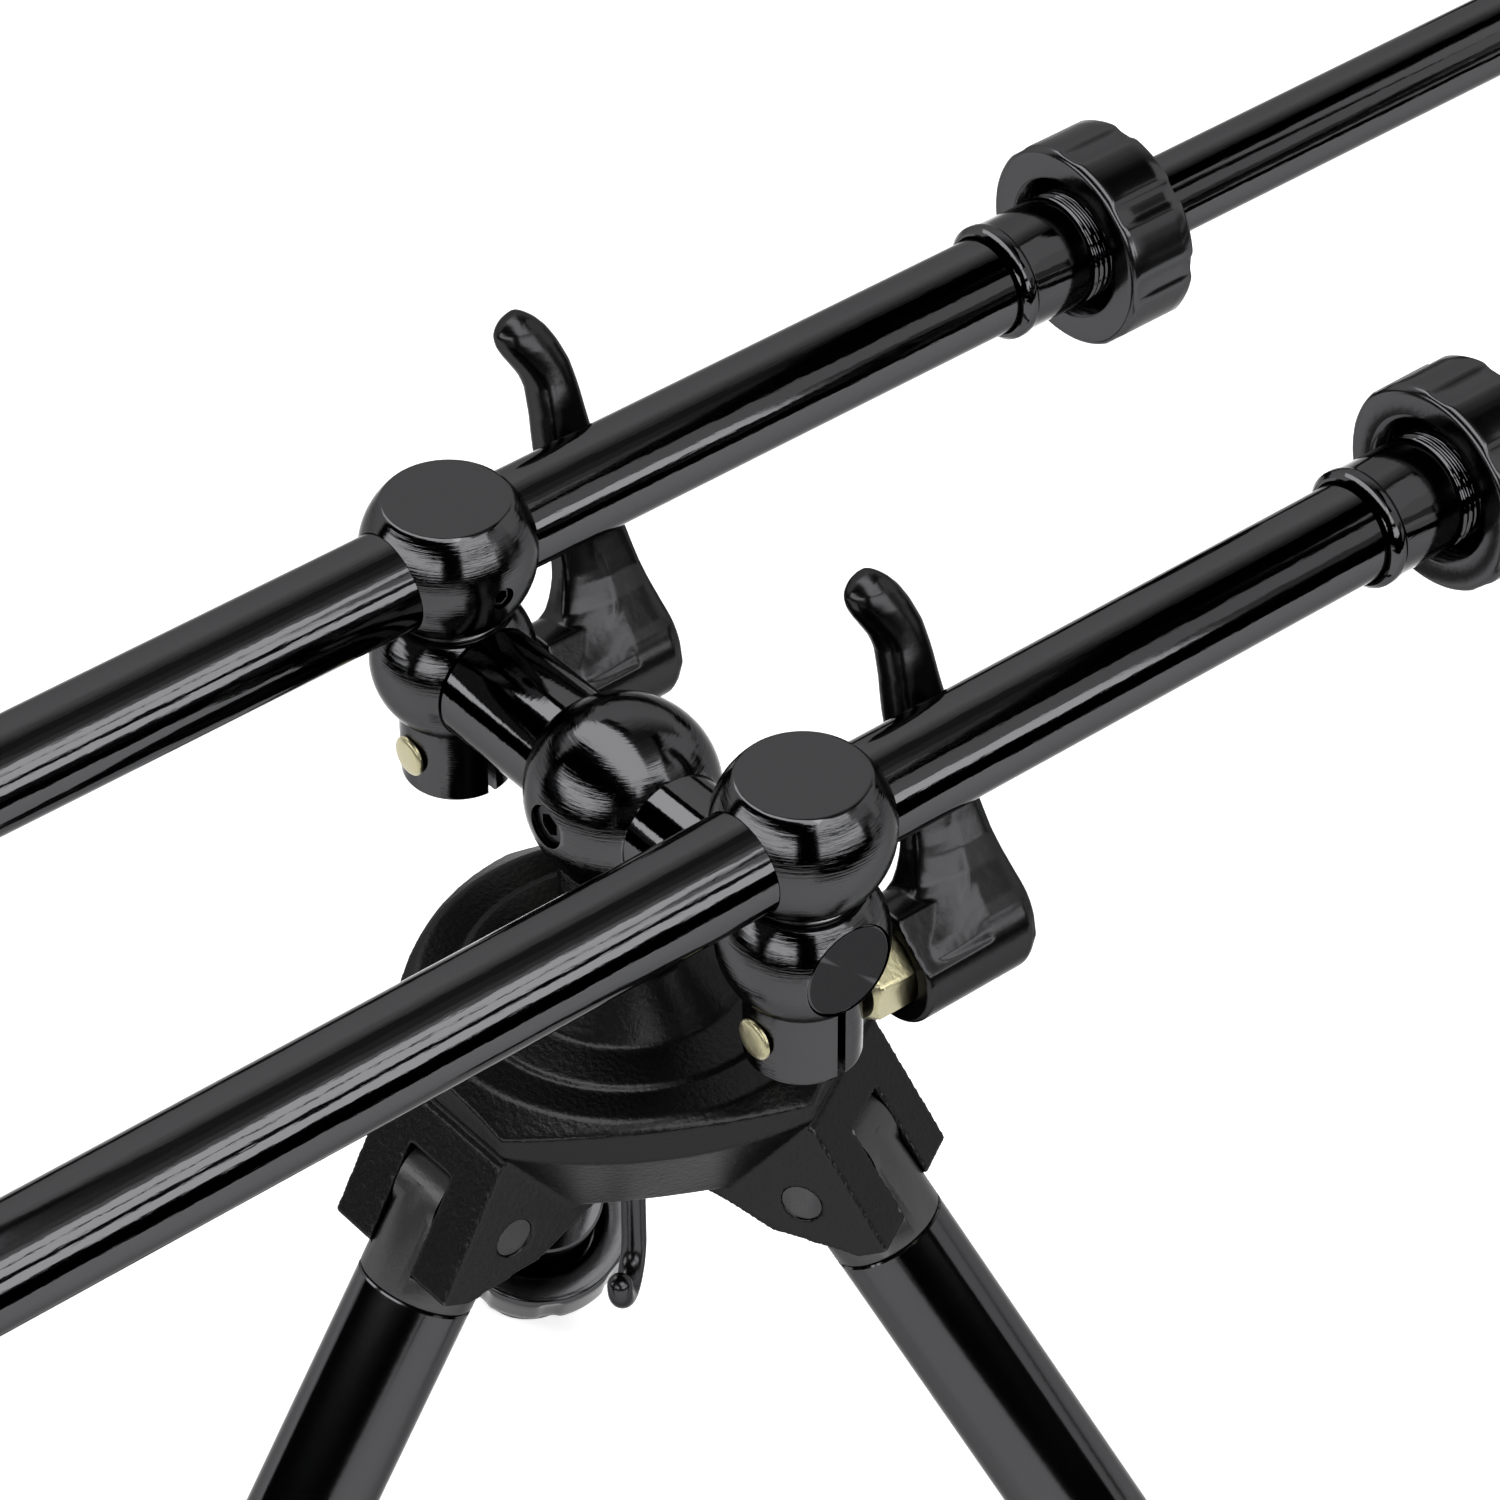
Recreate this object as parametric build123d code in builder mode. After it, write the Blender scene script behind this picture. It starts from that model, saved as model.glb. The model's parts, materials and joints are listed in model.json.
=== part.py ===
from build123d import *
import os
from math import cos, radians, sin, sqrt

os.makedirs("parts", exist_ok=True)

# A rod pod: a tripod whose head carries a crossbar, and on its ends two clamp balls with a
# telescopic bar each. Lengths are in millimetres. The origin is on the ground under the post,
# +Z is up, +X runs along the crossbar and +Y along the bars to their front ends.

# Fits
running_gap = 0.05
slide_gap = 0.3
overrun = 2.0

# Legs, measured along the leg from its pin
leg_angle = 33.0
leg_length = 270.0
knuckle_radius = 11.0
knuckle_seam = 20.0
tongue_thickness = 11.4
spigot_length = 26.0
leg_tube_radius = 11.0
leg_tube_wall = 1.2
leg_nut_gap = 8.7
leg_pin_radius = 3.75
leg_pin_recess = 0.4
leg_thread_radius = 12.7
leg_rim_radius = 13.2
leg_nut_radius = 21.0
lower_wall = 1.2
foot_radius = 13.5
foot_edge = 4.0
foot_length = 30.0
foot_neck_radius = 11.5
foot_depth = 8.0

# Spider, measured from the post and from the height of the leg pins
pin_reach = 39.0
arm_width = 32.0
slot_width = 12.0
slot_radius = 13.0
ear_tip_out = 16.5
ear_tip_drop = 6.7
ear_toe_out = 11.0
ear_toe_drop = 9.7
ear_heel_in = 6.0
ear_heel_drop = 8.4
ear_root_in = 12.0
ear_root_drop = 5.2
arm_face_out = 2.35
arm_bend_rise = 18.8
disc_rise = 29.5
disc_radius = 38.0
disc_step = 0.6
inner_disc_radius = 30.0
rim_drop = 4.2
band_height = 4.0
wall_bulge = 5.3
skirt_reach = 26.0
skirt_bulge = 0.6
cavity_radius = 21.5
roof_thickness = 9.0
boss_rise = 9.8
boss_foot_radius = 21.0
boss_foot_rise = 1.4
boss_top_radius = 12.6
socket_radius = 10.0
socket_length = 9.0

# Post, hub and hook
post_radius = 5.0
post_tail = 1.2
bush_wall = 1.5
washer_thickness = 1.2
nut_size = 17.0
nut_height = 8.0
hub_radius = 17.6
hub_neck_radius = 12.0
hub_drop = 32.0
hub_screw_radius = 4.1
hub_screw_length = 5.2
hub_screw_rise = 1.0
hub_socket_size = 4.0
socket_depth = 3.0
hook_wire = 4.8
hook_bend_radius = 6.5
hook_drop = 38.2
hook_azimuth = -50.0

# Crossbar and clamp balls
bar_spacing = 97.8
crossbar_radius = 11.0
journal_radius = 9.1
clamp_radius = 15.2
clamp_face = 10.3
skirt_radius = 10.4
skirt_drop = 26.0
slit_width = 1.8
bolt_drop = 18.0
bolt_radius = 2.9
bolt_head_radius = 3.9
bolt_head_rise = 1.6
bolt_end = 36.0
neck_rise = 10.4
neck_ring_radius = 9.9
neck_ring_height = 0.7

# Bar balls
bar_rise = 23.2
ball_radius = 16.1
ball_offset = 0.8
ball_flat = 12.0
ball_screw_radius = 2.2
ball_screw_drop = 0.7
ball_screw_length = 5.6
ball_socket_size = 2.5

# Clamping levers, measured from the bolt's axis and along it
lever_lean = 22.0
insert_size = 13.4
insert_end = 24.0
lever_start = 19.0
lever_end = 43.6
lever_hub_radius = 11.5
lever_recess_radius = 8.3
lever_foot_width = 20.8
lever_waist_width = 13.0
lever_waist = 16.9
lever_tip_width = 8.0
lever_length = 67.5
insert_face_share = 0.94

# Bars
outer_radius = 9.5
outer_wall = 1.2
rear_length = 330.0
sleeve_start = 126.5
sleeve_length = 25.5
sleeve_rim = 3.0
sleeve_socket = 13.0
rim_radius = 11.4
thread_radius = 11.0
inner_radius = 8.0
inner_wall = 1.2
inner_start = -100.0
front_reach = 330.0

# Lock nuts
nut_radius = 20.2
nut_length = 15.3
nut_start = 19.0
nut_face = 3.0
nut_edge = 2.0
lobe_count = 8
groove_width = 4.0
groove_depth = 1.6
collet_taper = 0.8

# End fittings and buzz bars
collar_radius = 9.5
collar_length = 9.0
plug_length = 25.0
buzz_length = 360.0
buzz_height = 18.0
buzz_depth = 14.0
buzz_edge = 3.0
alarm_inset = 15.0
alarm_hole_radius = 4.15
alarm_boss_radius = 10.0
alarm_boss_height = 21.0
thumb_radius = 9.0
thumb_length = 9.0
thumb_shank_radius = 3.0
thumb_grip = 12.0
thumb_sides = 12

# Places that follow from the sizes
lean_out = sin(radians(leg_angle))
lean_down = cos(radians(leg_angle))
pin_height = (leg_length - foot_edge) * lean_down + foot_radius * lean_out
disc_height = pin_height + disc_rise
boss_height = disc_height + boss_rise
neck_height = boss_height + slide_gap + washer_thickness
crossbar_height = neck_height + hub_drop
bolt_height = crossbar_height - bolt_drop
bar_height = crossbar_height + bar_rise
bar_offset = bar_spacing / 2
alarm_spacing = buzz_length / 2 - alarm_inset
arms = ("rear", "right", "left")
arm_step = 360 / len(arms)
arm_angles = {arm: -90 + number * arm_step for number, arm in enumerate(arms)}
sides = {"left": -bar_offset, "right": bar_offset}


def save(piece, label):
    """Writes one finished piece under its name."""
    piece.label = label
    export_step(piece, f"parts/{label}.step")


def side_of(plane):
    """The plane through a turned piece's axis, where x is the radius and y runs along the axis."""
    return Plane(origin=plane.origin, x_dir=plane.x_dir, z_dir=plane.x_dir.cross(plane.z_dir))


def axis_of(plane):
    return Axis(plane.origin, plane.z_dir)


def arm_plane(angle):
    """The upright plane through the post along one arm, where x runs outwards and y is up."""
    turn = radians(angle)
    return Plane(origin=(0, 0, 0), x_dir=(cos(turn), sin(turn), 0), z_dir=(sin(turn), -cos(turn), 0))


def bar_plane(x):
    """The plane across a bar at the crossbar, whose normal runs to the bar's front end."""
    return Plane(origin=(x, 0, bar_height), x_dir=(1, 0, 0), z_dir=(0, 1, 0))


# The leg is drawn once, over +X, and turned to its arm
leg_plane = Plane(
    origin=(pin_reach, 0, pin_height), x_dir=(0, 1, 0), z_dir=(lean_out, 0, -lean_down)
)


def body_outline(reach, bulge):
    """The spider's outline: a straight front on each arm, and bulging walls between the arms."""
    half = arm_width / 2
    step = radians(arm_step / 2)
    flat = reach * cos(step) + half * sin(step)
    for angle in arm_angles.values():
        along = Vector(1, 0).rotate(Axis.Z, angle)
        across = Vector(0, 1).rotate(Axis.Z, angle)
        next_along = Vector(1, 0).rotate(Axis.Z, angle + arm_step)
        next_across = Vector(0, 1).rotate(Axis.Z, angle + arm_step)
        middle = Vector(1, 0).rotate(Axis.Z, angle + arm_step / 2) * (flat + bulge)
        corner = along * reach + across * half
        Line(along * reach - across * half, corner)
        ThreePointArc(corner, middle, next_along * reach - next_across * half)


def lock_nut(plane, radius, thread, hole, start):
    """A lobed nut, bored for a thread from its near face and for the sliding tube in its far face."""
    with BuildPart() as nut:
        with BuildSketch(plane.offset(start)):
            Circle(radius)
            with PolarLocations(radius, lobe_count):
                Rectangle(2 * groove_depth, groove_width, mode=Mode.SUBTRACT)
            Circle(hole, mode=Mode.SUBTRACT)
        extrude(amount=nut_length)
        with BuildSketch(plane.offset(start)):
            Circle(thread + slide_gap)
        extrude(amount=nut_length - nut_face, mode=Mode.SUBTRACT)
        with BuildSketch(side_of(plane)):
            Polygon(
                (radius - nut_edge, start),
                (radius, start + nut_edge),
                (radius + overrun, start + nut_edge),
                (radius + overrun, start),
                align=None,
            )
        revolve(axis=axis_of(plane), mode=Mode.SUBTRACT)
    return nut.part


# Spider: the cast head of the tripod
arm_face = pin_reach + arm_face_out
corner_radius = sqrt(arm_face**2 + (arm_width / 2) ** 2)
band_bottom = disc_height - rim_drop - band_height
with BuildPart() as spider:
    with BuildSketch(Plane.XY.offset(pin_height)):
        with BuildLine():
            body_outline(skirt_reach, skirt_bulge)
        make_face()
    with BuildSketch(Plane.XY.offset(band_bottom)):
        with BuildLine():
            body_outline(arm_face, wall_bulge)
        make_face()
    loft(ruled=True)
    with BuildSketch(Plane.XY.offset(band_bottom)):
        with BuildLine():
            body_outline(arm_face, wall_bulge)
        make_face()
    extrude(amount=disc_height - band_bottom)
    with BuildSketch(Plane.XZ):
        Polygon(
            (disc_radius, disc_height),
            (corner_radius + overrun, disc_height),
            (corner_radius + overrun, disc_height - rim_drop),
            (corner_radius, disc_height - rim_drop),
            align=None,
        )
    revolve(axis=Axis.Z, mode=Mode.SUBTRACT)
    for angle in arm_angles.values():
        with BuildSketch(arm_plane(angle)):
            Polygon(
                (skirt_reach - ear_root_in, pin_height),
                (pin_reach - ear_root_in, pin_height - ear_root_drop),
                (pin_reach - ear_heel_in, pin_height - ear_heel_drop),
                (pin_reach + ear_toe_out, pin_height - ear_toe_drop),
                (pin_reach + ear_tip_out, pin_height - ear_tip_drop),
                (arm_face, pin_height + arm_bend_rise),
                (skirt_reach - ear_root_in, pin_height + arm_bend_rise),
                align=None,
            )
        extrude(amount=arm_width / 2, both=True)
    with BuildSketch(Plane.XZ):
        Polygon(
            (0, disc_height - disc_step),
            (inner_disc_radius, disc_height - disc_step),
            (inner_disc_radius, disc_height + disc_step),
            (boss_foot_radius, disc_height + boss_foot_rise),
            (boss_top_radius, boss_height),
            (0, boss_height),
            align=None,
        )
    revolve(axis=Axis.Z)
    cavity_roof = disc_height - roof_thickness
    with BuildSketch(Plane.XZ):
        Polygon(
            (socket_radius, pin_height - ear_toe_drop),
            (cavity_radius, pin_height - ear_toe_drop),
            (cavity_radius, cavity_roof),
            (socket_radius, cavity_roof),
            align=None,
        )
    revolve(axis=Axis.Z, mode=Mode.SUBTRACT)
    socket_foot = cavity_roof - socket_length
    with BuildSketch(Plane.XY.offset(socket_foot)):
        Circle(socket_radius + overrun)
    extrude(amount=-(socket_foot - pin_height + ear_toe_drop), mode=Mode.SUBTRACT)
    with BuildSketch(Plane.XY.offset(socket_foot - overrun)):
        Circle(post_radius + running_gap + bush_wall)
    extrude(amount=boss_height - socket_foot + 2 * overrun, mode=Mode.SUBTRACT)
    slot_reach = ear_tip_out + ear_tip_drop
    for angle in arm_angles.values():
        with BuildSketch(arm_plane(angle)):
            with Locations((pin_reach, pin_height)):
                Circle(slot_radius)
            with Locations(
                Location((pin_reach, pin_height)), Location((pin_reach, pin_height), leg_angle)
            ):
                Rectangle(2 * slot_radius, slot_reach, align=(Align.CENTER, Align.MAX))
        extrude(amount=slot_width / 2, both=True, mode=Mode.SUBTRACT)
        with BuildSketch(arm_plane(angle)):
            with Locations((pin_reach, pin_height)):
                Circle(leg_pin_radius + running_gap)
        extrude(amount=arm_width, both=True, mode=Mode.SUBTRACT)
save(spider.part, "spider")

with BuildPart() as leg_pins:
    for angle in arm_angles.values():
        with BuildSketch(arm_plane(angle)):
            with Locations((pin_reach, pin_height)):
                Circle(leg_pin_radius)
        extrude(amount=arm_width / 2 - leg_pin_recess, both=True)
save(leg_pins.part, "leg_pins")

with BuildPart() as post_bush:
    with BuildSketch(Plane.XY.offset(socket_foot)):
        Circle(post_radius + running_gap + bush_wall)
        Circle(post_radius + running_gap, mode=Mode.SUBTRACT)
    extrude(amount=boss_height - socket_foot)
save(post_bush.part, "post_bush")

# Turning head: post, hub and crossbar
washer_foot = neck_height - washer_thickness
nut_top = socket_foot - slide_gap
post_foot = nut_top - nut_height - post_tail
with BuildPart() as post_washer:
    with BuildSketch(Plane.XY.offset(washer_foot)):
        Circle(hub_neck_radius)
        Circle(post_radius + running_gap, mode=Mode.SUBTRACT)
    extrude(amount=washer_thickness)
save(post_washer.part, "post_washer")

with BuildPart() as post_nut:
    with BuildSketch(Plane.XY.offset(nut_top)):
        RegularPolygon(nut_size / 2, 6, major_radius=False)
        Circle(post_radius + running_gap, mode=Mode.SUBTRACT)
    extrude(amount=-nut_height)
save(post_nut.part, "post_nut")

with BuildPart() as hub:
    with Locations((0, 0, crossbar_height)):
        Sphere(hub_radius)
    with BuildSketch(Plane.XY.offset(neck_height)):
        Circle(hub_neck_radius)
    extrude(amount=hub_drop)
    with BuildSketch(Plane.YZ):
        with Locations((0, crossbar_height)):
            Circle(crossbar_radius + running_gap)
    extrude(amount=hub_radius, both=True, mode=Mode.SUBTRACT)
    with BuildSketch(Plane.XY.offset(post_foot)):
        Circle(post_radius)
    extrude(amount=neck_height - post_foot)
    with BuildSketch(Plane.XZ):
        with Locations((0, crossbar_height + hub_screw_rise)):
            Circle(hub_screw_radius + running_gap)
    extrude(amount=hub_radius, mode=Mode.SUBTRACT)
save(hub.part, "hub")

hub_screw_start = crossbar_radius + running_gap
with BuildPart() as hub_grub_screw:
    with BuildSketch(Plane.XZ.offset(hub_screw_start)):
        with Locations((0, crossbar_height + hub_screw_rise)):
            Circle(hub_screw_radius)
    extrude(amount=hub_screw_length)
    with BuildSketch(Plane.XZ.offset(hub_screw_start + hub_screw_length)):
        with Locations((0, crossbar_height + hub_screw_rise)):
            RegularPolygon(hub_socket_size / 2, 6, major_radius=False)
    extrude(amount=-socket_depth, mode=Mode.SUBTRACT)
save(hub_grub_screw.part, "hub_grub_screw")

journal_start = bar_offset - clamp_face - slide_gap
journal_end = bar_offset + sqrt(clamp_radius**2 - journal_radius**2)
with BuildPart() as crossbar:
    with BuildSketch(Plane.YZ):
        with Locations((0, crossbar_height)):
            Circle(crossbar_radius)
    extrude(amount=journal_start, both=True)
    with BuildSketch(Plane.YZ):
        with Locations((0, crossbar_height)):
            Circle(journal_radius)
    extrude(amount=journal_end, both=True)
save(crossbar.part, "crossbar")

hook_bend = post_foot - hook_drop
hook_radius = hook_wire / 2
with BuildPart() as bag_hook:
    with BuildLine(arm_plane(hook_azimuth)):
        Line((0, post_foot), (0, hook_bend))
        CenterArc((hook_bend_radius, hook_bend), hook_bend_radius, 180, 180)
    with BuildSketch(Plane.XY.offset(post_foot)):
        Circle(hook_radius)
    sweep()
    hook_turn = radians(hook_azimuth)
    hook_reach = 2 * hook_bend_radius
    with Locations((hook_reach * cos(hook_turn), hook_reach * sin(hook_turn), hook_bend)):
        Sphere(hook_radius)
save(bag_hook.part, "bag_hook")

# Clamp balls and bar balls, one pair on each end of the crossbar
with BuildPart() as neck_rings:
    for x in sides.values():
        with BuildSketch(Plane((x, 0, crossbar_height + neck_rise))):
            Circle(neck_ring_radius)
        extrude(amount=neck_ring_height)
save(neck_rings.part, "neck_rings")

ball_foot = crossbar_height + neck_rise + neck_ring_height
ball_centre = bar_height + ball_offset
with BuildPart() as clamp_balls:
    for x in sides.values():
        with Locations((x, 0, crossbar_height)):
            Sphere(clamp_radius)
        with BuildSketch(Plane((x, 0, crossbar_height - skirt_drop))):
            Circle(skirt_radius)
        extrude(amount=skirt_drop)
    split(bisect_by=Plane.XY.offset(crossbar_height + neck_rise), keep=Keep.BOTTOM)
    across_bar = Plane((0, 0, crossbar_height), x_dir=(0, 1, 0), z_dir=(1, 0, 0))
    with BuildSketch(across_bar):
        Circle(clamp_radius)
    extrude(amount=bar_offset - clamp_face, both=True, mode=Mode.SUBTRACT)
    with BuildSketch(across_bar):
        Circle(journal_radius + running_gap)
    extrude(amount=bar_offset + clamp_radius, both=True, mode=Mode.SUBTRACT)
    with BuildSketch(Plane((0, 0, crossbar_height))):
        Rectangle(2 * (bar_offset + clamp_radius), slit_width)
    extrude(amount=-skirt_drop, mode=Mode.SUBTRACT)
    with BuildSketch(Plane((0, 0, bolt_height), x_dir=(1, 0, 0), z_dir=(0, 1, 0))):
        with GridLocations(bar_spacing, 0, 2, 1):
            Circle(bolt_radius + running_gap)
    extrude(amount=clamp_radius, both=True, mode=Mode.SUBTRACT)
save(clamp_balls.part, "clamp_balls")

with BuildPart() as bar_balls:
    for x in sides.values():
        with Locations((x, 0, ball_centre)):
            Sphere(ball_radius)
    split(bisect_by=Plane.XY.offset(bar_height + ball_flat), keep=Keep.BOTTOM)
    split(bisect_by=Plane.XY.offset(ball_foot), keep=Keep.TOP)
    with BuildSketch(bar_plane(0)):
        with GridLocations(bar_spacing, 0, 2, 1):
            Circle(outer_radius + running_gap)
    extrude(amount=ball_radius, both=True, mode=Mode.SUBTRACT)
    screw_line = Plane((0, 0, bar_height - ball_screw_drop), x_dir=(0, 1, 0), z_dir=(1, 0, 0))
    with BuildSketch(screw_line):
        Circle(ball_screw_radius + running_gap)
    extrude(amount=bar_offset, both=True, mode=Mode.SUBTRACT)
save(bar_balls.part, "bar_balls")

with BuildPart() as bar_grub_screws:
    for x in sides.values():
        inward = -1 if x > 0 else 1
        screw_start = outer_radius + running_gap
        seat = Plane((x, 0, bar_height - ball_screw_drop), x_dir=(0, 1, 0), z_dir=(inward, 0, 0))
        with BuildSketch(seat.offset(screw_start)):
            Circle(ball_screw_radius)
        extrude(amount=ball_screw_length)
        with BuildSketch(seat.offset(screw_start + ball_screw_length)):
            RegularPolygon(ball_socket_size / 2, 6, major_radius=False)
        extrude(amount=-socket_depth, mode=Mode.SUBTRACT)
save(bar_grub_screws.part, "bar_grub_screws")

with BuildPart() as clamp_bolts:
    for x in sides.values():
        bolt_plane = Plane((x, 0, bolt_height), x_dir=(1, 0, 0), z_dir=(0, 1, 0))
        with BuildSketch(side_of(bolt_plane)):
            Polygon(
                (0, -skirt_radius - bolt_head_rise),
                (bolt_head_radius / 2, -skirt_radius - bolt_head_rise),
                (bolt_head_radius, -skirt_radius - bolt_head_rise / 2),
                (bolt_head_radius, -skirt_radius),
                (bolt_radius, -skirt_radius),
                (bolt_radius, bolt_end),
                (0, bolt_end),
                align=None,
            )
        revolve(axis=axis_of(bolt_plane))
save(clamp_bolts.part, "clamp_bolts")

# Clamping levers: each leans to the left of its bolt
lean = radians(lever_lean)
insert_start = skirt_radius + slide_gap
insert_face = insert_face_share * insert_size / 2
lever_back_shares = [
    (0.0, 0.98),
    (0.07, 1.07),
    (0.28, 1.02),
    (0.60, 1.015),
    (0.80, 1.01),
    (0.93, 0.93),
    (1.0, 0.84),
]
lever_tip_share = (1.005, 0.76)
lever_front_shares = [
    (0.955, 0.70),
    (0.83, 0.775),
    (0.68, 0.77),
    (0.61, 0.735),
    (0.29, 0.64),
    (0.20, 0.56),
]


def lever_point(share):
    """A point of the lever's side view, from its shares of the length and of the end height."""
    return (share[0] * lever_length, share[1] * lever_end)


lever_back = [lever_point(share) for share in lever_back_shares]
lever_front = [lever_point(share) for share in lever_front_shares]
lever_far = lever_length + overrun
for side, x in sides.items():
    lever_axis = Plane((x, 0, bolt_height), x_dir=(-sin(lean), 0, cos(lean)), z_dir=(0, 1, 0))
    lever_side = Plane(
        (x, 0, bolt_height), x_dir=(-sin(lean), 0, cos(lean)), z_dir=(-cos(lean), 0, -sin(lean))
    )
    with BuildPart() as clamp_lever:
        with BuildSketch(lever_side):
            with BuildLine():
                Spline(*lever_back)
                ThreePointArc(lever_back[-1], lever_point(lever_tip_share), lever_front[0])
                Spline(*lever_front)
                Polyline(lever_front[-1], (0, insert_end), lever_back[0])
            make_face()
        extrude(amount=lever_hub_radius, both=True)
        with BuildSketch(lever_axis):
            with BuildLine():
                for turn in (1, -1):
                    Spline(
                        (0, turn * lever_foot_width / 2),
                        (lever_waist, turn * lever_waist_width / 2),
                        (lever_far, turn * lever_tip_width / 2),
                    )
                Line((0, lever_foot_width / 2), (0, -lever_foot_width / 2))
                Line((lever_far, lever_tip_width / 2), (lever_far, -lever_tip_width / 2))
            make_face()
        extrude(amount=lever_end + lever_hub_radius, mode=Mode.INTERSECT)
        with BuildSketch(lever_axis.offset(lever_start)):
            Circle(lever_hub_radius)
        extrude(amount=lever_end - lever_start)
        with BuildSketch(lever_axis.offset(lever_start)):
            Circle(lever_recess_radius)
        extrude(amount=insert_end - lever_start, mode=Mode.SUBTRACT)
        with BuildSketch(lever_axis.offset(lever_start)):
            Circle(bolt_radius + running_gap)
        extrude(amount=bolt_end + slide_gap - lever_start, mode=Mode.SUBTRACT)
    save(clamp_lever.part, f"clamp_lever_{side}")

    with BuildPart() as brass_insert:
        with BuildSketch(lever_axis.offset(insert_start)):
            RegularPolygon(insert_size / 2, 6, major_radius=False)
        extrude(amount=insert_end - insert_start)
        with BuildSketch(side_of(lever_axis)):
            Polygon(
                (bolt_radius + running_gap, insert_start),
                (insert_face, insert_start),
                (insert_face + insert_end - insert_start, insert_end),
                (bolt_radius + running_gap, insert_end),
                align=None,
            )
        revolve(axis=axis_of(lever_axis), mode=Mode.INTERSECT)
    save(brass_insert.part, f"brass_insert_{side}")

# Bars
sleeve_end = sleeve_start + sleeve_length
outer_end = sleeve_start + sleeve_socket
nut_near = sleeve_start + nut_start
inner_bore = outer_radius - outer_wall
for side, x in sides.items():
    across = bar_plane(x)
    with BuildPart() as outer_tube:
        with BuildSketch(across.offset(-rear_length)):
            Circle(outer_radius)
            Circle(inner_bore, mode=Mode.SUBTRACT)
        extrude(amount=rear_length + outer_end)
    save(outer_tube.part, f"outer_tube_{side}")

    nut = lock_nut(across, nut_radius, thread_radius, inner_bore, nut_near)
    save(nut, f"bar_lock_nut_{side}")

    with BuildPart() as inner_tube:
        with BuildSketch(across.offset(inner_start)):
            Circle(inner_radius)
            Circle(inner_radius - inner_wall, mode=Mode.SUBTRACT)
        extrude(amount=front_reach - inner_start)
    save(inner_tube.part, f"inner_tube_{side}")

with BuildPart() as collet_bodies:
    for x in sides.values():
        with BuildSketch(side_of(bar_plane(x))):
            Polygon(
                (outer_radius + running_gap, sleeve_start),
                (rim_radius, sleeve_start),
                (rim_radius, sleeve_start + sleeve_rim),
                (thread_radius, sleeve_start + sleeve_rim),
                (thread_radius, sleeve_end),
                (inner_bore, sleeve_end),
                (inner_bore, outer_end + running_gap),
                (outer_radius + running_gap, outer_end + running_gap),
                align=None,
            )
        revolve(axis=axis_of(bar_plane(x)))
save(collet_bodies.part, "collet_bodies")

collet_end = nut_near + nut_length - nut_face - slide_gap
with BuildPart() as bar_collets:
    for x in sides.values():
        with BuildSketch(side_of(bar_plane(x))):
            Polygon(
                (inner_radius + running_gap, sleeve_end),
                (thread_radius - collet_taper, sleeve_end),
                (thread_radius - 2 * collet_taper, collet_end),
                (inner_radius + running_gap, collet_end),
                align=None,
            )
        revolve(axis=axis_of(bar_plane(x)))
save(bar_collets.part, "bar_collets")

# End fittings, buzz bars and thumb screws, front and rear alike
for end, toward in {"front": 1, "rear": -1}.items():
    tube_bore = inner_radius - inner_wall if end == "front" else inner_bore
    reach = front_reach if end == "front" else rear_length
    seat = Plane((0, toward * reach, bar_height), x_dir=(1, 0, 0), z_dir=(0, toward, 0))
    buzz_centre = reach + collar_length + buzz_depth / 2
    with BuildPart() as end_fittings:
        with BuildSketch(seat):
            with GridLocations(bar_spacing, 0, 2, 1):
                Circle(collar_radius)
        extrude(amount=collar_length)
        with BuildSketch(seat):
            with GridLocations(bar_spacing, 0, 2, 1):
                Circle(tube_bore - running_gap)
        extrude(amount=-plug_length)
        with BuildSketch(seat.offset(collar_length)):
            with GridLocations(bar_spacing, 0, 2, 1):
                Circle(thumb_shank_radius + running_gap)
        extrude(amount=-thumb_grip - overrun, mode=Mode.SUBTRACT)
    save(end_fittings.part, f"{end}_ends")

    outside = seat.offset(collar_length + buzz_depth)
    middle = Plane((0, toward * buzz_centre, bar_height), x_dir=(0, 1, 0), z_dir=(1, 0, 0))
    with BuildPart() as buzz_bar:
        with BuildSketch(middle) as section:
            Rectangle(buzz_depth, buzz_height)
            chamfer(section.vertices(), buzz_edge)
        extrude(amount=buzz_length / 2, both=True)
        boss_foot = Plane((0, toward * buzz_centre, bar_height - alarm_boss_height / 2))
        with BuildSketch(boss_foot):
            with GridLocations(alarm_spacing, 0, 3, 1):
                Circle(alarm_boss_radius)
        extrude(amount=alarm_boss_height)
        with BuildSketch(boss_foot):
            with GridLocations(alarm_spacing, 0, 3, 1):
                Circle(alarm_hole_radius)
        extrude(amount=alarm_boss_height, mode=Mode.SUBTRACT)
        with BuildSketch(outside):
            with GridLocations(bar_spacing, 0, 2, 1):
                Circle(thumb_shank_radius + slide_gap)
        extrude(amount=-buzz_depth, mode=Mode.SUBTRACT)
    save(buzz_bar.part, f"{end}_buzz_bar")

    with BuildPart() as thumb_screws:
        with BuildSketch(outside):
            with GridLocations(bar_spacing, 0, 2, 1):
                RegularPolygon(thumb_radius, thumb_sides)
        extrude(amount=thumb_length)
        with BuildSketch(outside):
            with GridLocations(bar_spacing, 0, 2, 1):
                Circle(thumb_shank_radius)
        extrude(amount=-buzz_depth - thumb_grip)
    save(thumb_screws.part, f"{end}_thumb_screws")

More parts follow.
